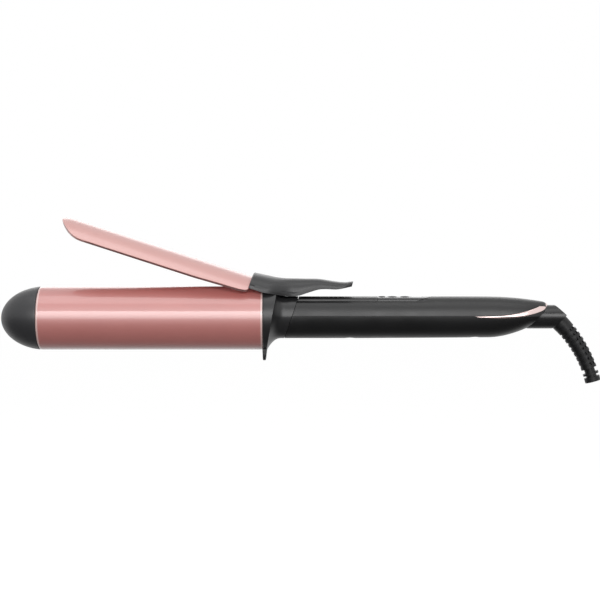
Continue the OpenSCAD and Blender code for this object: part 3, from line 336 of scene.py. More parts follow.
def plastic(name, tone, rubbed, roughness, grain_scale, grain_depth, wear=0.5, specular=0.5):
    """Moulded plastic: grain in the surface, tone that drifts, rubbed edges and a trace of dust."""
    mat, tree, shader = new_material(name)
    colour, worn = srgb(*tone), srgb(*rubbed)
    grain = place(tree, GROUPS["grain"], Scale=grain_scale)
    edges = place(tree, GROUPS["wear"], Amount=wear)
    film = place(tree, GROUPS["dust"], Amount=0.12)
    dark = tuple(0.86 * c for c in colour[:3])
    light = tuple(1.14 * c for c in colour[:3])
    tone = mix_colour(tree, grain.outputs["Value"], dark, light)
    tone = mix_colour(tree, edges.outputs["Mask"], tone, worn)
    tone = mix_colour(tree, film.outputs["Mask"], tone, DUST_TONE)
    tree.links.new(tone, shader.inputs["Base Color"])
    rough = remap(tree, film.outputs["Smudge"], 0.0, 1.0, roughness * 0.88, roughness * 1.12)
    tree.links.new(rough, shader.inputs["Roughness"])
    shader.inputs["Specular IOR Level"].default_value = specular
    bump(tree, shader, grain.outputs["Height"], grain_depth)
    return mat


# Painted highlight tone for the rolled ends, and painted shade tone for edges that face down.
PAINTED_END_HIGHLIGHT, PAINTED_EDGE_SHADE = srgb(246, 214, 208), srgb(84, 40, 34)


def pearl_coating(name, deep, pale, roughness, coat, ends=None, hem=None):
    """Pearl ceramic: mica flakes in the tone and the gloss, under a clear glaze.
    ends = (x, x), in metres: beyond them, on a tube's rolled ends, a pale tone is painted on as a highlight.
    hem = (x, x), in metres: past the first tenth of that run, edges that face down and outwards
    are darkened with painted shade."""
    mat, tree, shader = new_material(name)
    mica = place(tree, GROUPS["pearl"], Scale=9000.0)
    film = place(tree, GROUPS["dust"], Amount=0.04)
    grain = place(tree, GROUPS["grain"], Scale=900.0)
    shade = math_node(tree, "ADD", math_node(tree, "MULTIPLY", mica.outputs["Flake"], 0.3),
                      math_node(tree, "MULTIPLY", mica.outputs["Drift"], 0.7))
    tone = mix_colour(tree, shade, srgb(*deep), srgb(*pale))
    tone = mix_colour(tree, film.outputs["Mask"], tone, srgb(190, 186, 182))
    # Painted highlight: the rolled ends get a pale tone where the light catches them.
    if ends:
        split = add(tree, "ShaderNodeSeparateXYZ")
        tree.links.new(add(tree, "ShaderNodeTexCoord").outputs["Object"], split.inputs[0])
        near = remap(tree, split.outputs["X"], ends[0] - 0.2 * MM, ends[0] + 0.2 * MM, 0.8, 0.0)
        far = remap(tree, split.outputs["X"], ends[1] - 0.1 * MM, ends[1] + 0.1 * MM, 0.0, 0.8)
        tone = mix_colour(tree, math_node(tree, "MAXIMUM", near, far), tone, PAINTED_END_HIGHLIGHT)
    # Painted shade: edges that face down and outwards are darkened, as on a shadow side.
    if hem:
        coords = add(tree, "ShaderNodeTexCoord")
        place_xyz, facing = add(tree, "ShaderNodeSeparateXYZ"), add(tree, "ShaderNodeSeparateXYZ")
        tree.links.new(coords.outputs["Object"], place_xyz.inputs[0])
        tree.links.new(coords.outputs["Normal"], facing.inputs[0])
        outward = math_node(tree, "MULTIPLY", facing.outputs["Y"], place_xyz.outputs["Y"])
        mask = math_node(tree, "MULTIPLY", remap(tree, facing.outputs["Z"], -0.2, -0.4),
                         remap(tree, outward, 0.0, 1 * MM))
        along = remap(tree, place_xyz.outputs["X"], hem[0], hem[0] + (hem[1] - hem[0]) * 0.1)
        tone = mix_colour(tree, math_node(tree, "MULTIPLY", mask, along), tone, PAINTED_EDGE_SHADE)
    tree.links.new(tone, shader.inputs["Base Color"])
    rough = remap(tree, mica.outputs["Flake"], 0.0, 1.0, roughness * 0.85, roughness * 1.15)
    tree.links.new(rough, shader.inputs["Roughness"])
    shader.inputs["IOR"].default_value = 1.7
    shader.inputs["Specular IOR Level"].default_value = 1.0
    shader.inputs["Coat Weight"].default_value = coat
    shader.inputs["Coat Roughness"].default_value = 0.03
    bump(tree, shader, grain.outputs["Height"], 0.000004)
    return mat


def metal(name, tone, roughness, brushed=(1, 1, 1)):
    """Bare or plated metal, with a soft smudge and, where brushed, fine lines."""
    mat, tree, shader = new_material(name)
    colour = srgb(*tone)
    film = place(tree, GROUPS["dust"], Amount=0.05)
    tone = mix_colour(tree, film.outputs["Smudge"], tuple(0.93 * c for c in colour[:3]), colour)
    tone = mix_colour(tree, film.outputs["Mask"], tone, srgb(180, 178, 175))
    tree.links.new(tone, shader.inputs["Base Color"])
    rough = remap(tree, film.outputs["Smudge"], 0.0, 1.0, roughness * 0.8, roughness * 1.2)
    tree.links.new(rough, shader.inputs["Roughness"])
    shader.inputs["Metallic"].default_value = 1.0
    lines = noise(tree, 1800.0, 3.0, 0.6, brushed)
    bump(tree, shader, lines, 0.000003)
    return mat


GROUPS = {}

# Each plastic's tone, rubbed tone, roughness, grain per metre, grain depth in metres, and other settings.
PLASTICS = {
    "black_tip": ((52, 52, 54), (94, 94, 96), 0.4, 2600.0, 12e-6, {"wear": 0.3}),
    "grey_lever": ((48, 48, 49), (96, 96, 97), 0.42, 3200.0, 20e-6, {"wear": 0.3}),
    "black_collar": ((36, 36, 37), (84, 84, 86), 0.34, 3000.0, 12e-6, {"wear": 0.3}),
    "black_shell": ((17, 17, 18), (60, 59, 61), 0.4, 2400.0, 10e-6, {"wear": 0.3}),
    "panel_black": ((30, 30, 32), (74, 74, 76), 0.28, 2000.0, 4e-6, {}),
    "key_grey": ((58, 58, 60), (104, 104, 106), 0.38, 3000.0, 10e-6, {}),
    "smoked_window": ((16, 17, 20), (40, 40, 44), 0.06, 900.0, 1e-6, {"wear": 0.0}),
    "black_boot": ((26, 26, 27), (70, 70, 72), 0.3, 2800.0, 12e-6, {"wear": 0.3}),
    "black_relief": ((17, 17, 18), (50, 50, 52), 0.4, 2600.0, 10e-6, {"wear": 0.3, "specular": 0.35}),
    "ceramic_heater": ((232, 228, 214), (240, 238, 230), 0.4, 900.0, 8e-6, {}),
    "cream_resin": ((228, 222, 206), (238, 234, 224), 0.55, 1500.0, 12e-6, {}),
    "green_board": ((24, 92, 50), (120, 150, 120), 0.34, 1200.0, 6e-6, {}),
    "part_blue": ((40, 76, 140), (90, 120, 170), 0.34, 1400.0, 6e-6, {}),
    "lead_black": ((34, 34, 35), (60, 60, 62), 0.46, 2400.0, 10e-6, {}),
    "lead_white": ((226, 224, 216), (240, 238, 232), 0.46, 2400.0, 10e-6, {}),
}
# Each metal's tone and roughness, and how its brushed lines are stretched.
METALS = {
    "rose_chrome": ((238, 216, 212), 0.2),
    "steel": ((205, 205, 208), 0.28, (1, 30, 30)),
    "heat_aluminium": ((214, 214, 217), 0.4, (1, 25, 25)),
    "contact_brass": ((222, 180, 110), 0.26),
}
# The runs, in metres, of the barrel between its painted end highlights and of the plate's painted edge shade.
BARREL_RUN_BETWEEN_HIGHLIGHTS = (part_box("barrel")[0][0] + 1.3 * MM, -1.0 * MM)
EDGE_SHADE_RUN = (-0.112, -0.008)


def make_materials():
    GROUPS["grain"] = fine_grain_group()
    GROUPS["wear"] = edge_wear_group()
    GROUPS["dust"] = dust_group()
    GROUPS["pearl"] = pearl_group()
    made = {name: plastic(name, *values, **more) for name, (*values, more) in PLASTICS.items()}
    made.update((name, metal(name, *values)) for name, values in METALS.items())
    made["rose_barrel"] = pearl_coating(
        "rose_barrel", (193, 113, 108), (209, 127, 121), 0.46, 1.0, ends=BARREL_RUN_BETWEEN_HIGHLIGHTS)
    made["rose_plate"] = pearl_coating(
        "rose_plate", (220, 156, 149), (230, 170, 163), 0.36, 0.5, hem=EDGE_SHADE_RUN)
    return made


# ---------------------------------------------------------------- pieces

def slot_of(node):
    for row in frame["record"]["subparts"]:
        if row["node"] == node:
            return row["material_slot"]
    raise KeyError(node)


def body_of(node):
    for name, body in frame["record"]["behaviour"]["bodies"].items():
        if node in body:
            return name
    return "body"


def shade(obj, angle):
    """Smooth over gentle edges, crisp over sharper ones."""
    mesh = obj.data
    mesh.polygons.foreach_set("use_smooth", [True] * len(mesh.polygons))
    mesh.set_sharp_from_angle(angle=math.radians(angle))


def dress(node, name, bevel=0.0, segments=2, sharp=30.0):
    """The node's own solid with its edges eased and its curves smooth."""
    bm = bmesh.new()
    bm.from_mesh(frame["nodes"][node].data)
    bmesh.ops.remove_doubles(bm, verts=bm.verts, dist=0.002 * MM)
    bmesh.ops.dissolve_limit(bm, angle_limit=math.radians(0.4), verts=bm.verts, edges=bm.edges)
    if bevel:
        limit = math.radians(sharp)
        edges = [e for e in bm.edges if e.is_manifold and e.calc_face_angle(0) > limit]
        bmesh.ops.bevel(
            bm, geom=edges, offset=bevel * MM, offset_type="OFFSET", segments=segments, profile=0.5,
            affect="EDGES", clamp_overlap=True, material=-1)
    mesh = bpy.data.meshes.new(name)
    bm.to_mesh(mesh)
    bm.free()
    obj = finish_piece(mesh, name, [node], sharp)
    even = obj.modifiers.new("flat_faces", "WEIGHTED_NORMAL")
    even.keep_sharp = True
    return obj


def finish_piece(mesh, name, nodes, sharp=30.0):
    """Links a mesh as a piece that stands for these nodes, with their body and finish."""
    obj = bpy.data.objects.new(name, mesh)
    bpy.context.collection.objects.link(obj)
    shade(obj, sharp)
    slot = slot_of(nodes[0])
    mesh.materials.clear()
    mesh.materials.append(MATERIALS[slot])
    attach(obj, body_of(nodes[0]))
    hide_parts(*nodes)
    return obj


# ---------------------------------------------------------------- shaping

def lerp(a, b, t):
    return a + (b - a) * t


def clamp01(t):
    return max(0.0, min(1.0, t))


def ease(t):
    u = clamp01(t)
    return u * u * (3 - 2 * u)


def signed_pow(v, p):
    return math.copysign(abs(v) ** p, v)


def flowing(points, x):
    """A smooth curve through a few (x, value) points."""
    if x <= points[0][0]:
        return points[0][1]
    if x >= points[-1][0]:
        return points[-1][1]
    k = max(i for i in range(len(points) - 1) if points[i][0] <= x)

    def slope(i):
        low, high = points[max(i - 1, 0)], points[min(i + 1, len(points) - 1)]
        return (high[1] - low[1]) / (high[0] - low[0])

    (x0, v0), (x1, v1) = points[k], points[k + 1]
    h = x1 - x0
    t = (x - x0) / h
    return (v0 * (1 + 2 * t) * (1 - t) ** 2 + v1 * t * t * (3 - 2 * t)
            + h * slope(k) * t * (1 - t) ** 2 - h * slope(k + 1) * t * t * (1 - t))


def spread(start, end, count):
    """count + 1 values from start to end."""
    return [lerp(start, end, i / count) for i in range(count + 1)]


def sheet(columns, rows, form):
    """A grid skin of columns by rows cells. form(i, j) places each crossing."""
    bm = bmesh.new()
    bmesh.ops.create_grid(bm, x_segments=columns, y_segments=rows, size=1.0)
    for v in bm.verts:
        v.co = form(round((v.co.x + 1) / 2 * columns), round((v.co.y + 1) / 2 * rows))
    return bm


def sleeve(sides, rings, form):
    """A tube of sides by rings crossings, open at both ends. form(k, j) places crossing j of ring k."""
    bm = bmesh.new()
    bmesh.ops.create_cone(bm, cap_ends=False, segments=sides, radius1=1.0, radius2=1.0, depth=2.0)
    long_edges = [e for e in bm.edges if e.verts[0].co.z * e.verts[1].co.z < 0]
    bmesh.ops.subdivide_edges(bm, edges=long_edges, cuts=rings - 2)
    for v in bm.verts:
        turn = math.atan2(v.co.y, v.co.x) / math.tau * sides
        v.co = form(round((v.co.z + 1) / 2 * (rings - 1)), round(turn) % sides)
    return bm


def turned(profile, rounds=(), steps=128):
    """A ring turned about the X axis from a closed profile of (x, radius) points.
    rounds = (point number, radius) rounds corners off first."""
    bm = bmesh.new()
    points = [bm.verts.new((x, 0, r)) for x, r in profile]
    for a, b in zip(points, points[1:] + points[:1]):
        bm.edges.new((a, b))
    for number, radius in rounds:
        bmesh.ops.bevel(bm, geom=[points[number]], offset=radius, offset_type="OFFSET", segments=5,
                        profile=0.5, affect="VERTICES", material=-1)
    bmesh.ops.spin(bm, geom=bm.verts[:] + bm.edges[:], cent=(0, 0, 0), axis=(1, 0, 0),
                   angle=math.tau, steps=steps, use_merge=True, use_duplicate=False)
    bmesh.ops.remove_doubles(bm, verts=bm.verts, dist=0.001)
    bmesh.ops.recalc_face_normals(bm, faces=bm.faces)
    return bm


def soften(bm, edges, width, segments=2):
    bmesh.ops.bevel(bm, geom=edges, offset=width, offset_type="OFFSET", segments=segments, profile=0.5,
                    affect="EDGES", clamp_overlap=True, material=-1)


def as_mesh(bm, name):
    """Closes the work on a bmesh that is in millimetres."""
    bmesh.ops.scale(bm, vec=(MM, MM, MM), verts=bm.verts)
    mesh = bpy.data.meshes.new(name)
    bm.to_mesh(mesh)
    bm.free()
    return mesh


def thicken(obj, wall, edge=0.0, segments=2, shares=None):
    """Gives a skin its wall, inwards, and eases its edges. shares = each vertex's share of the wall."""
    solid = obj.modifiers.new("wall", "SOLIDIFY")
    solid.thickness = wall * MM
    solid.offset = -1.0
    solid.use_even_offset = False
    if shares:
        group = obj.vertex_groups.new(name="wall")
        for number, share in enumerate(shares):
            group.add([number], share, "REPLACE")
        solid.vertex_group = "wall"
    if edge:
        ease_edges(obj, edge, segments)


def thinning(obj, start, end, share):
    """Shares of the wall that go from 1 at one X to less at another."""
    return [lerp(1, share, clamp01((v.co.x / MM - start) / (end - start))) for v in obj.data.vertices]


def ease_edges(obj, width, segments=2, angle=50.0):
    bevel = obj.modifiers.new("eased_edges", "BEVEL")
    bevel.width = width * MM
    bevel.segments = segments
    bevel.limit_method = "ANGLE"
    bevel.angle_limit = math.radians(angle)
    bevel.use_clamp_overlap = True


def cut_away(bm, point, normal, outside):
    """Cuts the mesh along a plane and, where outside is True, drops what lies beyond it."""
    bmesh.ops.bisect_plane(bm, geom=bm.verts[:] + bm.edges[:] + bm.faces[:], dist=1e-5, plane_co=point,
                           plane_no=normal, clear_outer=outside, clear_inner=False)


def punch(bm, outline, upper):
    """Cuts a convex hole, straight up or down, in the upper or lower side of a skin.
    Gives the edges round it."""
    low = Vector((min(p[0] for p in outline), min(p[1] for p in outline)))
    high = Vector((max(p[0] for p in outline), max(p[1] for p in outline)))

    def near(face, margin):
        c = face.calc_center_median()
        return ((c.z > 0) == upper and low.x - margin < c.x < high.x + margin
                and low.y - margin < c.y < high.y + margin)

    walls = list(zip(outline, outline[1:] + outline[:1]))
    for (x0, y0), (x1, y1) in walls:
        faces = [f for f in bm.faces if near(f, 2.5)]
        geom = dict.fromkeys([*faces, *(e for f in faces for e in f.edges),
                              *(v for f in faces for v in f.verts)])
        bmesh.ops.bisect_plane(bm, geom=list(geom), dist=1e-5, plane_co=(x0, y0, 0),
                               plane_no=(y1 - y0, x0 - x1, 0), clear_outer=False, clear_inner=False)
    doomed = []
    for face in bm.faces:
        if near(face, 0):
            c = face.calc_center_median()
            if all((x1 - x0) * (c.y - y0) - (y1 - y0) * (c.x - x0) > 0 for (x0, y0), (x1, y1) in walls):
                doomed.append(face)
    inner = set(doomed)
    around = dict.fromkeys(e for f in doomed for e in f.edges)
    rim = [e for e in around if any(f not in inner for f in e.link_faces)]
    bmesh.ops.delete(bm, geom=doomed, context="FACES")
    return [e for e in rim if e.is_valid]


def floor_up(bm, rim, z):
    """Takes the edges round a hole straight to a height, and closes the hole there."""
    grown = bmesh.ops.extrude_edge_only(bm, edges=rim)["geom"]
    for v in [g for g in grown if isinstance(g, bmesh.types.BMVert)]:
        v.co.z = z
    bmesh.ops.holes_fill(bm, edges=[g for g in grown if isinstance(g, bmesh.types.BMEdge)], sides=0)


def box_mm(node):
    low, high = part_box(node)
    return [v / MM for v in low], [v / MM for v in high]


# ---------------------------------------------------------------- barrel and tip

BARREL_LOW, BARREL_HIGH = box_mm("barrel")
BARREL_R = BARREL_HIGH[2]
BARREL_WALL = 1.2
TIP_X = BARREL_LOW[0]


def barrel_tube():
    """The tube with rolled ends: a broad roll at the tip and a fine one at the collar."""
    end, inner = BARREL_HIGH[0], BARREL_R - BARREL_WALL
    bm = turned([
        (TIP_X, inner), (TIP_X, BARREL_R), (TIP_X + 2.5, BARREL_R), (end - 2, BARREL_R),
        (end, BARREL_R), (end, inner),
    ], [(1, 1.0), (4, 0.5)])
    return finish_piece(as_mesh(bm, "barrel_tube"), "barrel_tube", ["barrel"])


def tip_cap():
    """A half ellipsoid with a rolled rim, and its spigot inside the barrel."""
    low, high = box_mm("cool_tip")
    back = 3.6
    reach = TIP_X - low[0] + back
    rim_r = BARREL_R - 0.1
    dome_r = rim_r / math.sqrt(1 - (back / reach) ** 2)
    bm = bmesh.new()
    bmesh.ops.create_uvsphere(bm, u_segments=128, v_segments=80, radius=1.0)
    bmesh.ops.rotate(bm, verts=bm.verts, cent=(0, 0, 0), matrix=Matrix.Rotation(math.radians(90), 3, "Y"))
    bmesh.ops.scale(bm, vec=(reach, dome_r, dome_r), verts=bm.verts)
    bmesh.ops.translate(bm, vec=(TIP_X + back, 0, 0), verts=bm.verts)
    cut_away(bm, (TIP_X, 0, 0), (1, 0, 0), True)
    rim = [e for e in bm.edges if e.is_boundary]
    spigot, spigot_r, bore_r = high[0] - TIP_X, BARREL_R - BARREL_WALL - 0.1, BARREL_R - 3.6
    for radius, along in ((spigot_r, 0), (spigot_r, spigot), (bore_r, spigot), (bore_r, 0), (0.5, 0)):
        grown = bmesh.ops.extrude_edge_only(bm, edges=rim)["geom"]
        for v in [g for g in grown if isinstance(g, bmesh.types.BMVert)]:
            flat = math.hypot(v.co.y, v.co.z)
            v.co = (TIP_X + along, v.co.y * radius / flat, v.co.z * radius / flat)
        rim = [g for g in grown if isinstance(g, bmesh.types.BMEdge)]
    bmesh.ops.holes_fill(bm, edges=rim, sides=0)
    corner = [e for e in bm.edges if all(abs(v.co.x - TIP_X) < 1e-3 for v in e.verts)
              and all(abs(math.hypot(v.co.y, v.co.z) - rim_r) < 0.02 for v in e.verts)]
    soften(bm, corner, 0.5, 4)
    bmesh.ops.recalc_face_normals(bm, faces=bm.faces)
    return finish_piece(as_mesh(bm, "tip_cap"), "tip_cap", ["cool_tip"], 40)


# ---------------------------------------------------------------- form of the handle

SCREW_XS = (52.0, 126.8)
SCREW_PIT_R, SCREW_SEAT_Z = 3.0, -7.0

HANDLE_LEN = box_mm("upper_shell")[1][0]
HAND_TOP = box_mm("upper_shell")[1][2]
HALF_W = box_mm("lower_shell")[1][1]
HAND_LOW = box_mm("lower_shell")[0][2]
SPLIT_Z = 1.0
SEAM_X, SEAM_LEAN, SEAM_GAP, SEAM_REACH = 16.9, 0.34, 0.3, 30
CROWN_EXP = 2.6
STRIP_EXP = 2.1
# The strip's ledge: how far in and up each of its points lies from the flank's edge.
STRIP_STEP = [(0.55, 0.38), (1.15, 0.8), (1.7, 1.2), (1.72, 1.3), (1.75, 1.5), (1.79, 1.72), (1.86, 1.95)]
CROWN_LIFT = 3.5
BELLY_LIFT = 1.0
TRIM_X = box_mm("rear_trim")[0][0]
TRIM_RUN = HANDLE_LEN - TRIM_X - 1.3
TRIM_RISE, TRIM_H, TRIM_LEAD = 8.3, 3.7, 8.0
SHELL_END = HANDLE_LEN - 1.5
SHELL_WALL, EASED_EDGE = 1.6, 0.14
GROOVE_Z = 9.0
PANEL_X, PANEL_END, RAMP_END = 68.4, 92.4, 101.6
PANEL_Z = GROOVE_Z + 1.22
RAMP_GAP = 0.9


# Slopes near the handle's tail: start (before the end of the handle), run, height and power.
TAIL_SLOPE, LIP_SLOPE = (41.3, 40, 3.3, 2.2), (3.3, 3.3, 1.2, 2)
KEEL_SLOPE, BOW_SLOPE = (35.3, 25, 6.6, 1.8), (51.5, 51.7, 1, 6)
BELLY_START, BELLY_RUN, BELLY_RISE = 60, 75, 0.5
NECK_RUN, NECK_IN = 26, 0.9


def slope_at(x, slope):
    """How high a slope near the tail has come at x."""
    start, run, height, power = slope
    return height * clamp01((x - HANDLE_LEN + start) / run) ** power


def handle_top(x):
    return HAND_TOP - slope_at(x, TAIL_SLOPE) - slope_at(x, LIP_SLOPE)


def handle_bottom(x):
    belly = BELLY_RISE * clamp01((x - BELLY_START) / BELLY_RUN)
    return HAND_LOW + belly + slope_at(x, KEEL_SLOPE)


def handle_half(x):
    neck = NECK_IN * (1 - ease((x - SEAM_X) / NECK_RUN))
    return (HALF_W - neck) * math.sqrt(1 - slope_at(x, BOW_SLOPE))


def crown_frame(x):
    """Centre height, half width and height of the squarish curve that the crown is part of."""
    up = handle_top(x) - SPLIT_Z
    lift = CROWN_LIFT * up / (HAND_TOP - SPLIT_Z)
    high = up + lift
    wide = handle_half(x) / (1 - (lift / high) ** CROWN_EXP) ** (1 / CROWN_EXP)
    return SPLIT_Z - lift, wide, high


def crown_at(x, z):
    """Half width of the crown at a height."""
    centre, wide, high = crown_frame(x)
    share = clamp01((z - centre) / high)
    return wide * (1 - share ** CROWN_EXP) ** (1 / CROWN_EXP)


def belly_frame(x):
    deep = SPLIT_Z - handle_bottom(x) + BELLY_LIFT
    wide = handle_half(x) / math.sqrt(1 - (BELLY_LIFT / deep) ** 2)
    return SPLIT_Z + BELLY_LIFT, wide, deep


def belly_at(x, z):
    centre, wide, deep = belly_frame(x)
    return wide * math.sqrt(max(0.0, 1 - ((centre - z) / deep) ** 2))


def flank_at(x, z):
    return crown_at(x, z) if z >= SPLIT_Z else belly_at(x, z)


def trim_top(x):
    return SPLIT_Z + TRIM_RISE * clamp01((x - TRIM_X) / TRIM_RUN) ** 2.8


def trim_low(x):
    if x <= TRIM_X:
        return SPLIT_Z
    return trim_top(x) - TRIM_H * clamp01((x - TRIM_X + TRIM_LEAD) / (TRIM_RUN + TRIM_LEAD))


def seam_at(z, gap):
    return SEAM_X + gap + SEAM_LEAN * z


FLANK_ROWS, LAP_ROWS, CROWN_ROWS = 22, 7, 16


def upper_half_section(x, z_edge, crease=1.0):
    """Points (y, z) from the parting line up to the crown's middle. crease is how fully the crown strip
    stands above the flank, behind its fine ledge."""
    centre, wide, high = crown_frame(x)
    share = (handle_top(x) - SPLIT_Z) / (HAND_TOP - SPLIT_Z)
    groove_z = SPLIT_Z + (GROOVE_Z - SPLIT_Z) * share

    def turn_of(z):
        return math.asin(clamp01((z - centre) / high) ** (CROWN_EXP / 2))

    def point(turn):
        return (wide * max(0.0, math.cos(turn)) ** (2 / CROWN_EXP),
                centre + high * math.sin(turn) ** (2 / CROWN_EXP))

    low, mid = turn_of(z_edge), turn_of(groove_z)
    points = [point(lerp(low, mid, k / FLANK_ROWS)) for k in range(FLANK_ROWS + 1)]
    count = LAP_ROWS + CROWN_ROWS
    smooth = [point(lerp(mid, math.pi / 2, (k + 1) / count)) for k in range(count)]
    smooth[-1] = (0.0, smooth[-1][1])
    y0, z0 = points[-1]
    top = smooth[-1][1]
    raised = [(y0 - dy, z0 + dz) for dy, dz in STRIP_STEP]
    shoulder_y, shoulder_z = raised[-1]
    for k in range(CROWN_ROWS):
        a = math.pi / 2 * (k + 1) / CROWN_ROWS
        raised.append((shoulder_y * max(0.0, math.cos(a)) ** (2 / STRIP_EXP),
                       shoulder_z + (top - shoulder_z) * math.sin(a) ** (2 / STRIP_EXP)))
    raised[-1] = (0.0, top)
    return points + [(lerp(a[0], b[0], crease), lerp(a[1], b[1], crease)) for a, b in zip(smooth, raised)]


def to_seam(x, z):
    """x, drawn towards the leaning seam on the stretch beside the collar."""
    if x >= SEAM_REACH:
        return x
    return lerp(seam_at(z, SEAM_GAP), SEAM_REACH, (x - SEAM_X) / (SEAM_REACH - SEAM_X))


def mirrored_row(points, j):
    """Point j of a half section and its mirror image, counted from the near side over the middle."""
    last = len(points) - 1
    return (-points[j][0], points[j][1]) if j <= last else points[2 * last - j]


def handle_top_shell():
    xs = spread(SEAM_X, SEAM_REACH, 10) + spread(SEAM_REACH, PANEL_X, 14)[1:]
    xs += spread(PANEL_X, RAMP_END, 22)[1:] + spread(RAMP_END, TRIM_X, 10)[1:]
    xs += spread(TRIM_X, HANDLE_LEN - 6, 24)[1:]
    xs += spread(HANDLE_LEN - 6, SHELL_END, 10)[1:]
    half = FLANK_ROWS + LAP_ROWS + CROWN_ROWS

    def crease(x):
        return 1 - ease((x - PANEL_END) / (RAMP_END - PANEL_END - 1))

    def edge(x):
        return min(trim_top(x) + 0.05, handle_top(x) - 0.2)

    sections = [upper_half_section(x, edge(x), crease=crease(x)) for x in xs]

    def form(i, j):
        y, z = mirrored_row(sections[i], j)
        return to_seam(xs[i], z), y, z

    bm = sheet(len(xs) - 1, 2 * half, form)
    slope = (HAND_TOP - PANEL_Z) / (RAMP_END - PANEL_END)
    cut_away(bm, (PANEL_X, 0, 0), (1, 0, 0), False)
    cut_away(bm, (0, 0, PANEL_Z), (0, 0, 1), False)
    cut_away(bm, (PANEL_END, 0, PANEL_Z), (-slope, 0, 1), False)
    opening = []
    for face in bm.faces:
        c = face.calc_center_median()
        if c.x > PANEL_X and c.z > PANEL_Z and c.z - PANEL_Z > slope * (c.x - PANEL_END):
            opening.append(face)
    bmesh.ops.delete(bm, geom=opening, context="FACES")
    bmesh.ops.remove_doubles(bm, verts=bm.verts, dist=0.003)
    bmesh.ops.recalc_face_normals(bm, faces=bm.faces)
    obj = finish_piece(as_mesh(bm, "handle_top_shell"), "handle_top_shell", ["upper_shell"], 35)
    thicken(obj, SHELL_WALL, EASED_EDGE, 2, thinning(obj, HANDLE_LEN - 30, SHELL_END, 0.12))
    return obj


def handle_bottom_shell():
    xs = spread(SEAM_X, SEAM_REACH, 10) + spread(SEAM_REACH, TRIM_X, 24)[1:]
    xs += spread(TRIM_X, HANDLE_LEN - 8, 24)[1:] + spread(HANDLE_LEN - 8, HANDLE_LEN, 10)[1:]
    rows = 72
    flank_rows = 14

    def half_section(x):
        """From the upper edge down to the keel."""
        edge = trim_low(x) - 0.05
        centre, wide, deep = belly_frame(x)
        low = [(flank_at(x, z), z) for z in spread(edge, min(edge, SPLIT_Z) - 0.6, flank_rows)]
        start = math.asin(clamp01((centre - low[-1][1]) / deep))
        turns = spread(start, math.pi / 2, rows // 2 - flank_rows)[1:]
        return low + [(wide * math.cos(t), centre - deep * math.sin(t)) for t in turns]

    sections = [half_section(x) for x in xs]

    def form(i, j):
        y, z = mirrored_row(sections[i], j)
        return to_seam(xs[i], z), y, z

    bm = sheet(len(xs) - 1, rows, form)
    cut_away(bm, (HANDLE_LEN - 12.3, 0, -5.6), (1, 0, -1), True)
    for x in SCREW_XS:
        ring = [(x + SCREW_PIT_R * math.cos(a), SCREW_PIT_R * math.sin(a))
                for a in spread(0, math.tau, 24)[:-1]]
        floor_up(bm, punch(bm, ring, False), SCREW_SEAT_Z)
    bmesh.ops.remove_doubles(bm, verts=bm.verts, dist=0.003)
    bmesh.ops.recalc_face_normals(bm, faces=bm.faces)
    obj = finish_piece(as_mesh(bm, "handle_bottom_shell"), "handle_bottom_shell", ["lower_shell"], 35)
    thicken(obj, SHELL_WALL, EASED_EDGE, 2, thinning(obj, HANDLE_LEN - 30, HANDLE_LEN, 0.3))
    return obj


# ---------------------------------------------------------------- controls

KEY_HALF, WINDOW_HALF, KEY_CORNER, KEY_GAP = 4.5, 5.2, 1.4, 0.2
PANEL_WALL = 1.4


def cut_corners(x0, x1, half_w, corner):
    """A rectangle with rounded corners, as points counted round it."""
    points = []
    for cx, cy, start in ((x1 - corner, half_w - corner, 0), (x0 + corner, half_w - corner, 90),
                          (x0 + corner, corner - half_w, 180), (x1 - corner, corner - half_w, 270)):
        for turn in spread(start, start + 90, 3):
            a = math.radians(turn)
            points.append((cx + corner * math.cos(a), cy + corner * math.sin(a)))
    return points


def panel_inlay():
    """The crown strip's own insert, between its front wall and the ramp, with holes for the keys."""
    xs = spread(PANEL_X + 0.1, RAMP_END, 36)
    first = FLANK_ROWS + 3
    slope = (HAND_TOP - PANEL_Z) / (RAMP_END - PANEL_END)
    sections = [[(max(0.0, y - 0.05), z - 0.12) for y, z in upper_half_section(x, SPLIT_Z + 0.05)[first:]]
                for x in xs]
    bm = sheet(len(xs) - 1, 2 * (len(sections[0]) - 1),
               lambda i, j: (xs[i], *mirrored_row(sections[i], j)))
    cut_away(bm, (PANEL_END - RAMP_GAP, 0, PANEL_Z), (slope, 0, -1), True)
    for node, half_w, gap in (("button_power", KEY_HALF, KEY_GAP), ("button_minus", KEY_HALF, KEY_GAP),
                              ("button_plus", KEY_HALF, KEY_GAP), ("display_window", WINDOW_HALF, 0.1)):
        low, high = box_mm(node)
        punch(bm, cut_corners(low[0] - gap, high[0] + gap, half_w + gap, KEY_CORNER + gap), True)
    bmesh.ops.recalc_face_normals(bm, faces=bm.faces)
    obj = finish_piece(as_mesh(bm, "panel_inlay"), "panel_inlay", ["control_panel"], 35)
    thicken(obj, PANEL_WALL, 0.12)
    return obj


# ---------------------------------------------------------------- rear trim

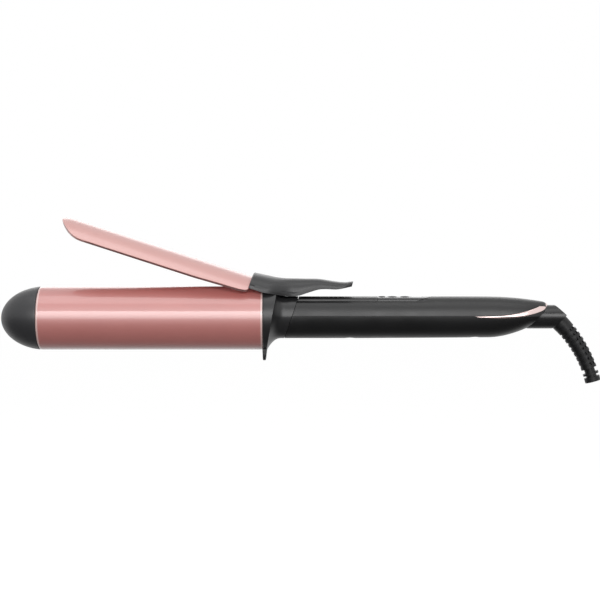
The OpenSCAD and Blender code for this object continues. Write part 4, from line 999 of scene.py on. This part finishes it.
def trim_band():
    """The pink band: one skin on each side, joined round the tail, a little proud of the shells."""
    proud, gap = 0.12, 0.06
    xs = spread(TRIM_X, HANDLE_LEN - 6, 36) + spread(HANDLE_LEN - 6, HANDLE_LEN, 14)[1:]
    rows = 8

    def form(i, j):
        x = xs[i]
        high = min(trim_top(x) - gap, handle_top(x) - 0.02)
        z = lerp(trim_low(x) + gap, high, j / rows)
        bulge = proud + proud * math.sin(math.pi * j / rows)
        return x, -(flank_at(x, z) + bulge), z

    bm = sheet(len(xs) - 1, rows, form)
    end = [e for e in bm.edges if all(v.co.x > HANDLE_LEN - 1e-3 for v in e.verts)]
    grown = bmesh.ops.extrude_edge_only(bm, edges=end)["geom"]
    for v in [g for g in grown if isinstance(g, bmesh.types.BMVert)]:
        v.co = (HANDLE_LEN + 0.1, 0, v.co.z)
    bmesh.ops.mirror(bm, geom=bm.verts[:] + bm.edges[:] + bm.faces[:], merge_dist=0.01, axis="Y")
    bmesh.ops.remove_doubles(bm, verts=bm.verts, dist=0.01)
    bmesh.ops.recalc_face_normals(bm, faces=bm.faces)
    obj = finish_piece(as_mesh(bm, "trim_band"), "trim_band", ["rear_trim"], 60)
    thicken(obj, 1.2, 0.3, 3)
    return obj


# ---------------------------------------------------------------- collar

RIM_R = BARREL_R + 1.0
FLARE_LEN = 8.5
SLEEVE_SIDES = 144
FOOT_W, FOOT_ROUND, FOOT_EASE = 15, 3.2, 0.4


def rim_end(z):
    """Where the collar's rim steps down, by height: far back on top, close to the mouth below."""
    return 2.4 + 5.7 * clamp01((z + 20) / 33) ** 1.05


def section_turn(x, turn):
    """A point of the handle's whole section, turn counted from 0 to 1 and starting on the +Y side."""
    if turn <= 0.5:
        centre, wide, high = crown_frame(x)
        start = math.asin(clamp01((SPLIT_Z - centre) / high) ** (CROWN_EXP / 2))
        a = lerp(start, math.pi - start, turn * 2)
        y = wide * signed_pow(math.cos(a), 2 / CROWN_EXP)
        return y, centre + high * max(0.0, math.sin(a)) ** (2 / CROWN_EXP)
    centre, wide, deep = belly_frame(x)
    start = math.asin(BELLY_LIFT / deep)
    a = lerp(math.pi + start, math.tau - start, turn * 2 - 1)
    return wide * math.cos(a), centre + deep * math.sin(a)


def collar_moulding():
    """Rim, trumpet neck and foot in one moulding. Its rings run from the mouth back to the seam."""
    mouth = [(0.0, -0.85), (0.45, -0.85), (0.5, -0.14), (0.66, 0.0)]
    rim_rings = len(mouth) + 6

    def flare(x, turn):
        y, z = section_turn(max(x, 12), turn)
        d = math.hypot(y, z)
        up = 0.5 + 0.5 * z / d
        start = lerp(2.4, 6.3, up)
        f = (1 - clamp01((x - start) / FLARE_LEN)) ** 2.2
        r = lerp(d, BARREL_R + 0.2, f)
        return y * r / d, z * r / d

    neck = spread(0, 1, 22)

    def form(k, j):
        turn = j / SLEEVE_SIDES
        y, z = section_turn(12, turn)
        d = math.hypot(y, z)
        ny, nz = y / d, z / d
        step = rim_end(nz * RIM_R)
        rings = mouth + [(0.8, 0), (step * 0.5, 0), (step - 0.5, 0), (step - 0.16, -0.04), (step, -0.2),
                         (step, -0.45)]
        if k < rim_rings:
            x, drop = rings[k]
            return x, ny * (RIM_R + drop), nz * (RIM_R + drop)
        x = lerp(step, seam_at(nz * 12, 0), neck[k - rim_rings])
        y, z = flare(x, turn)
        if k == rim_rings + len(neck) - 1:
            return seam_at(z, 0), y, z
        return x, y, z

    bm = sleeve(SLEEVE_SIDES, rim_rings + len(neck), form)
    front = [e for e in bm.edges if e.is_boundary and e.verts[0].co.x < 0.01]
    rear = [e for e in bm.edges if e.is_boundary and e.verts[0].co.x > 1]
    for edges, radii in ((front, ((BARREL_R + 0.1, 0.0), (BARREL_R + 0.1, 1.5), (8.1, 1.5))),
                         (rear, ((0.9, 0.0), (0.86, 3.0)))):
        for radius, x in radii:
            grown = bmesh.ops.extrude_edge_only(bm, edges=edges)["geom"]
            for v in [g for g in grown if isinstance(g, bmesh.types.BMVert)]:
                if radius > 1:
                    flat = math.hypot(v.co.y, v.co.z)
                    v.co = (x, v.co.y * radius / flat, v.co.z * radius / flat)
                else:
                    y, z = v.co.y * radius, v.co.z * radius
                    v.co = (seam_at(z, x), y, z)
            edges = [g for g in grown if isinstance(g, bmesh.types.BMEdge)
                     and all(v in grown for v in g.verts)]
    add_foot(bm)
    bmesh.ops.recalc_face_normals(bm, faces=bm.faces)
    mesh = as_mesh(bm, "collar_moulding")
    return finish_piece(mesh, "collar_moulding", ["front_collar"], 32)


def add_foot(bm):
    """The rest foot: a wedge with a rounded tongue's outline."""
    low = box_mm("front_collar")[0]
    foot = bmesh.ops.create_cube(bm, size=1.0)["verts"]
    top = -BARREL_R + 0.6
    for v in foot:
        upper = v.co.z > 0
        front, back = (-0.2, 2.5) if upper else (0.1, 1.75)
        v.co = (lerp(front, back, v.co.x + 0.5), v.co.y * FOOT_W, top if upper else low[2])
    edges = dict.fromkeys(e for v in foot for e in v.link_edges)
    round_edges = [e for e in edges if all(v.co.z < top - 1 for v in e.verts)
                   and abs(e.verts[0].co.x - e.verts[1].co.x) > 1]
    rounded = bmesh.ops.bevel(bm, geom=round_edges, offset=FOOT_ROUND, offset_type="OFFSET", segments=8,
                              profile=0.5, affect="EDGES", material=-1)
    faces = dict.fromkeys([*(f for v in foot if v.is_valid for f in v.link_faces), *rounded["faces"]])
    border = dict.fromkeys(e for f in faces for e in f.edges)
    rim = [e for e in border if len(e.link_faces) == 2 and e.calc_face_angle(0) > 1.0
           and any(v.co.z < top - 0.1 for v in e.verts)]
    soften(bm, rim, FOOT_EASE, 3)


# ---------------------------------------------------------------- clamp

HINGE = next(j for j in frame["joints"] if j["name"] == "clamp_hinge")
PIVOT = [v / MM for v in HINGE["pos_m"]]
CLAMP_OPEN = -HINGE["range_deg"][0]
PLATE_R = BARREL_R + 0.35
PLATE_T = 0.8
SEAT_R = PLATE_R + PLATE_T + 0.1
PLATE_LIFT, PLATE_NOSE, LIFT_START, LIFT_RUN = 1.3, 7.0, 2, 5
PLATE_HALF_ANGLE = 59.0
PLATE_HALF = (PLATE_R + PLATE_T + PLATE_LIFT) * math.sin(math.radians(PLATE_HALF_ANGLE))
PLATE_LEN = 127.0
LEVER_FRONT, LEVER_BACK = 8.0, 50.0
CHEEK_DROP, LEVER_WALL, LEVER_ROOF, TAB_HALF = 6.15, 2.0, 2.6, 10.0
TAB_ROUND, TAB_NARROWING = 7, 2.6
# Heights above the plate's seat, by share of the lever's length: its top line and the low line of its cheeks.
LEVER_TOP = [
    (-0.18, 3.7), (0, 4.6), (0.12, 5.2), (0.22, 6.2), (0.3, 7.4), (0.42, 9.2),
    (0.6, 11.9), (0.77, 13.3), (0.9, 14.7), (1, 16.8),
]
LEVER_LOW = [
    (-0.18, -6.2), (0.02, -6.15), (0.14, -5.3), (0.26, -4.3), (0.32, -3.6), (0.42, -1.8),
    (0.54, 2.4), (0.64, 5.8), (0.72, 7.4), (0.86, 9.5), (1, 13.4),
]


def opened(bm):
    """Turns a clamp piece from its closed place to the open one."""
    turn = Matrix.Rotation(math.radians(CLAMP_OPEN), 3, "Y")
    bmesh.ops.rotate(bm, verts=bm.verts, cent=PIVOT, matrix=turn)


def spoon_plate():
    """A strip of the tube round the barrel, with a blunt round tip and a narrower heel."""
    tip_len, blunt = 17.5, 2.35
    heel = [(x, PLATE_HALF - less) for x, less in (
        (-40, 0), (-23, 0.35), (-16, 0.42), (-12.6, 0.55), (-9, 1.05), (-7.6, 2.0), (-6.2, 3.8), (-4, 5.6))]
    turns = spread(0, math.pi / 2, 22)
    xs = [-PLATE_LEN + tip_len * (1 - math.cos(t) ** (2 / blunt)) for t in turns]
    halves = [PLATE_HALF * math.sin(t) ** (2 / blunt) for t in turns]
    rest = spread(-PLATE_LEN + tip_len, -40, 30)[1:] + spread(-40, -13, 12)[1:] + spread(-13, -0.4, 16)[1:]
    xs += rest
    halves += [flowing(heel, x) for x in rest]
    rows = 44

    def lifted(x):
        """How fully the plate stands off at x: not at all under the lever, and less at the nose."""
        nose = clamp01((PLATE_NOSE - PLATE_LEN - x) / PLATE_NOSE)
        return ease((-x - LIFT_START) / LIFT_RUN) * (1 - nose ** 2)

    def form(i, j):
        r = PLATE_R + PLATE_T + PLATE_LIFT * lifted(xs[i])
        reach = math.asin(clamp01(max(halves[i], 0.02) / r))
        a = lerp(-reach, reach, j / rows)
        return xs[i], r * math.sin(a), r * math.cos(a)

    bm = sheet(len(xs) - 1, rows, form)
    bmesh.ops.remove_doubles(bm, verts=bm.verts, dist=0.01)
    bmesh.ops.recalc_face_normals(bm, faces=bm.faces)
    wall, hem = PLATE_T + 0.2, 1.1
    shares = [(wall + hem * lifted(v.co.x)) / (wall + hem) for v in bm.verts]
    opened(bm)
    obj = finish_piece(as_mesh(bm, "spoon_plate"), "spoon_plate", ["clamp_plate"], 40)
    thicken(obj, wall + hem, EASED_EDGE, 2, shares)
    return obj


def lever_half(x):
    front = math.sqrt(SEAT_R ** 2 - (SEAT_R - CHEEK_DROP) ** 2) + LEVER_WALL + 0.1
    end = TAB_NARROWING * clamp01((x - LEVER_BACK + TAB_ROUND) / TAB_ROUND) ** 2.5
    return lerp(front, TAB_HALF, ease((x - 2) / 16)) - end


def lever_moulding():
    """Saddle over the plate's heel and thumb tab, hollow below, with a lip along its cheeks."""
    half_count = 96
    lip, lip_height, setback = 0.55, 2.0, 0.27
    seat_end = -0.4
    xs = spread(-LEVER_FRONT, seat_end, 8) + spread(seat_end + 0.02, 8, 8) + spread(8, 30, 20)[1:]
    xs += spread(30, 45, 12)[1:] + spread(45, LEVER_BACK, 10)[1:]

    def arch(x, half_w, top, low, t):
        a = math.pi * t
        e = lerp(2.1, 3, ease((x - 8) / 20))
        return half_w * signed_pow(math.cos(a), 2 / e), low + (top - low) * max(0.0, math.sin(a)) ** (2 / e)

    def form(k, j):
        x = xs[k]
        top = SEAT_R + flowing(LEVER_TOP, x / LEVER_BACK)
        low = SEAT_R + flowing(LEVER_LOW, x / LEVER_BACK)
        half_w = lever_half(x)
        if j < half_count:
            y, z = arch(x, half_w, top, low, j / (half_count - 1))
            step = lip * (1 - ease((z - low - lip_height) / 0.35)) * (1 - ease((x - 14) / 8)) - setback
            return x, y + math.copysign(step, y), z
        t = 1 - (j - half_count) / (half_count - 1)
        if x <= seat_end:
            reach = math.acos(low / SEAT_R)
            a = lerp(reach, -reach, t)
            return x, SEAT_R * math.sin(a), SEAT_R * math.cos(a)
        y, z = arch(x, half_w - LEVER_WALL, top - LEVER_ROOF, low, t)
        full = ease((x - 45.5) / 1.5)
        flat_y, _ = arch(x, half_w, top, low, t)
        return x, lerp(y, flat_y * 0.995, full), lerp(z, low, full)

    bm = sleeve(2 * half_count, len(xs), form)
    bmesh.ops.holes_fill(bm, edges=[e for e in bm.edges if e.is_boundary], sides=0)
    bmesh.ops.recalc_face_normals(bm, faces=bm.faces)
    front = [e for e in bm.edges if all(abs(v.co.x + LEVER_FRONT) < 1e-3 for v in e.verts)
             and all(math.hypot(v.co.y, v.co.z) > SEAT_R + 0.3 for v in e.verts)]
    soften(bm, front, 1.4, 1)
    opened(bm)
    obj = finish_piece(as_mesh(bm, "lever_moulding"), "lever_moulding", ["clamp_lever"], 32)
    ease_edges(obj, 0.3, 3, 45)
    return obj


bpy.context.scene.view_settings.view_transform = "Standard"
make_camera()
make_lights()
make_world()
make_floor()
MATERIALS = make_materials()

DRESSED = {
    "display_window": ("window_lens", 0.1), "button_power": ("power_key_cap", 0.15),
    "button_minus": ("minus_key_cap", 0.15), "button_plus": ("plus_key_cap", 0.15),
    "swivel_boot": ("boot_moulding", 0.2), "strain_relief": ("relief_moulding", 0.1),
    "handle_screws": ("handle_screw_set", 0.1),
}
MODELLED = (barrel_tube, tip_cap, handle_top_shell, handle_bottom_shell, panel_inlay, trim_band,
            collar_moulding, spoon_plate, lever_moulding)
for make in MODELLED:
    make()
for node, (name, bevel) in DRESSED.items():
    dress(node, name, bevel)
for node, obj in frame["nodes"].items():
    if not obj.hide_render:
        obj.data.materials.clear()
        obj.data.materials.append(MATERIALS[slot_of(node)])
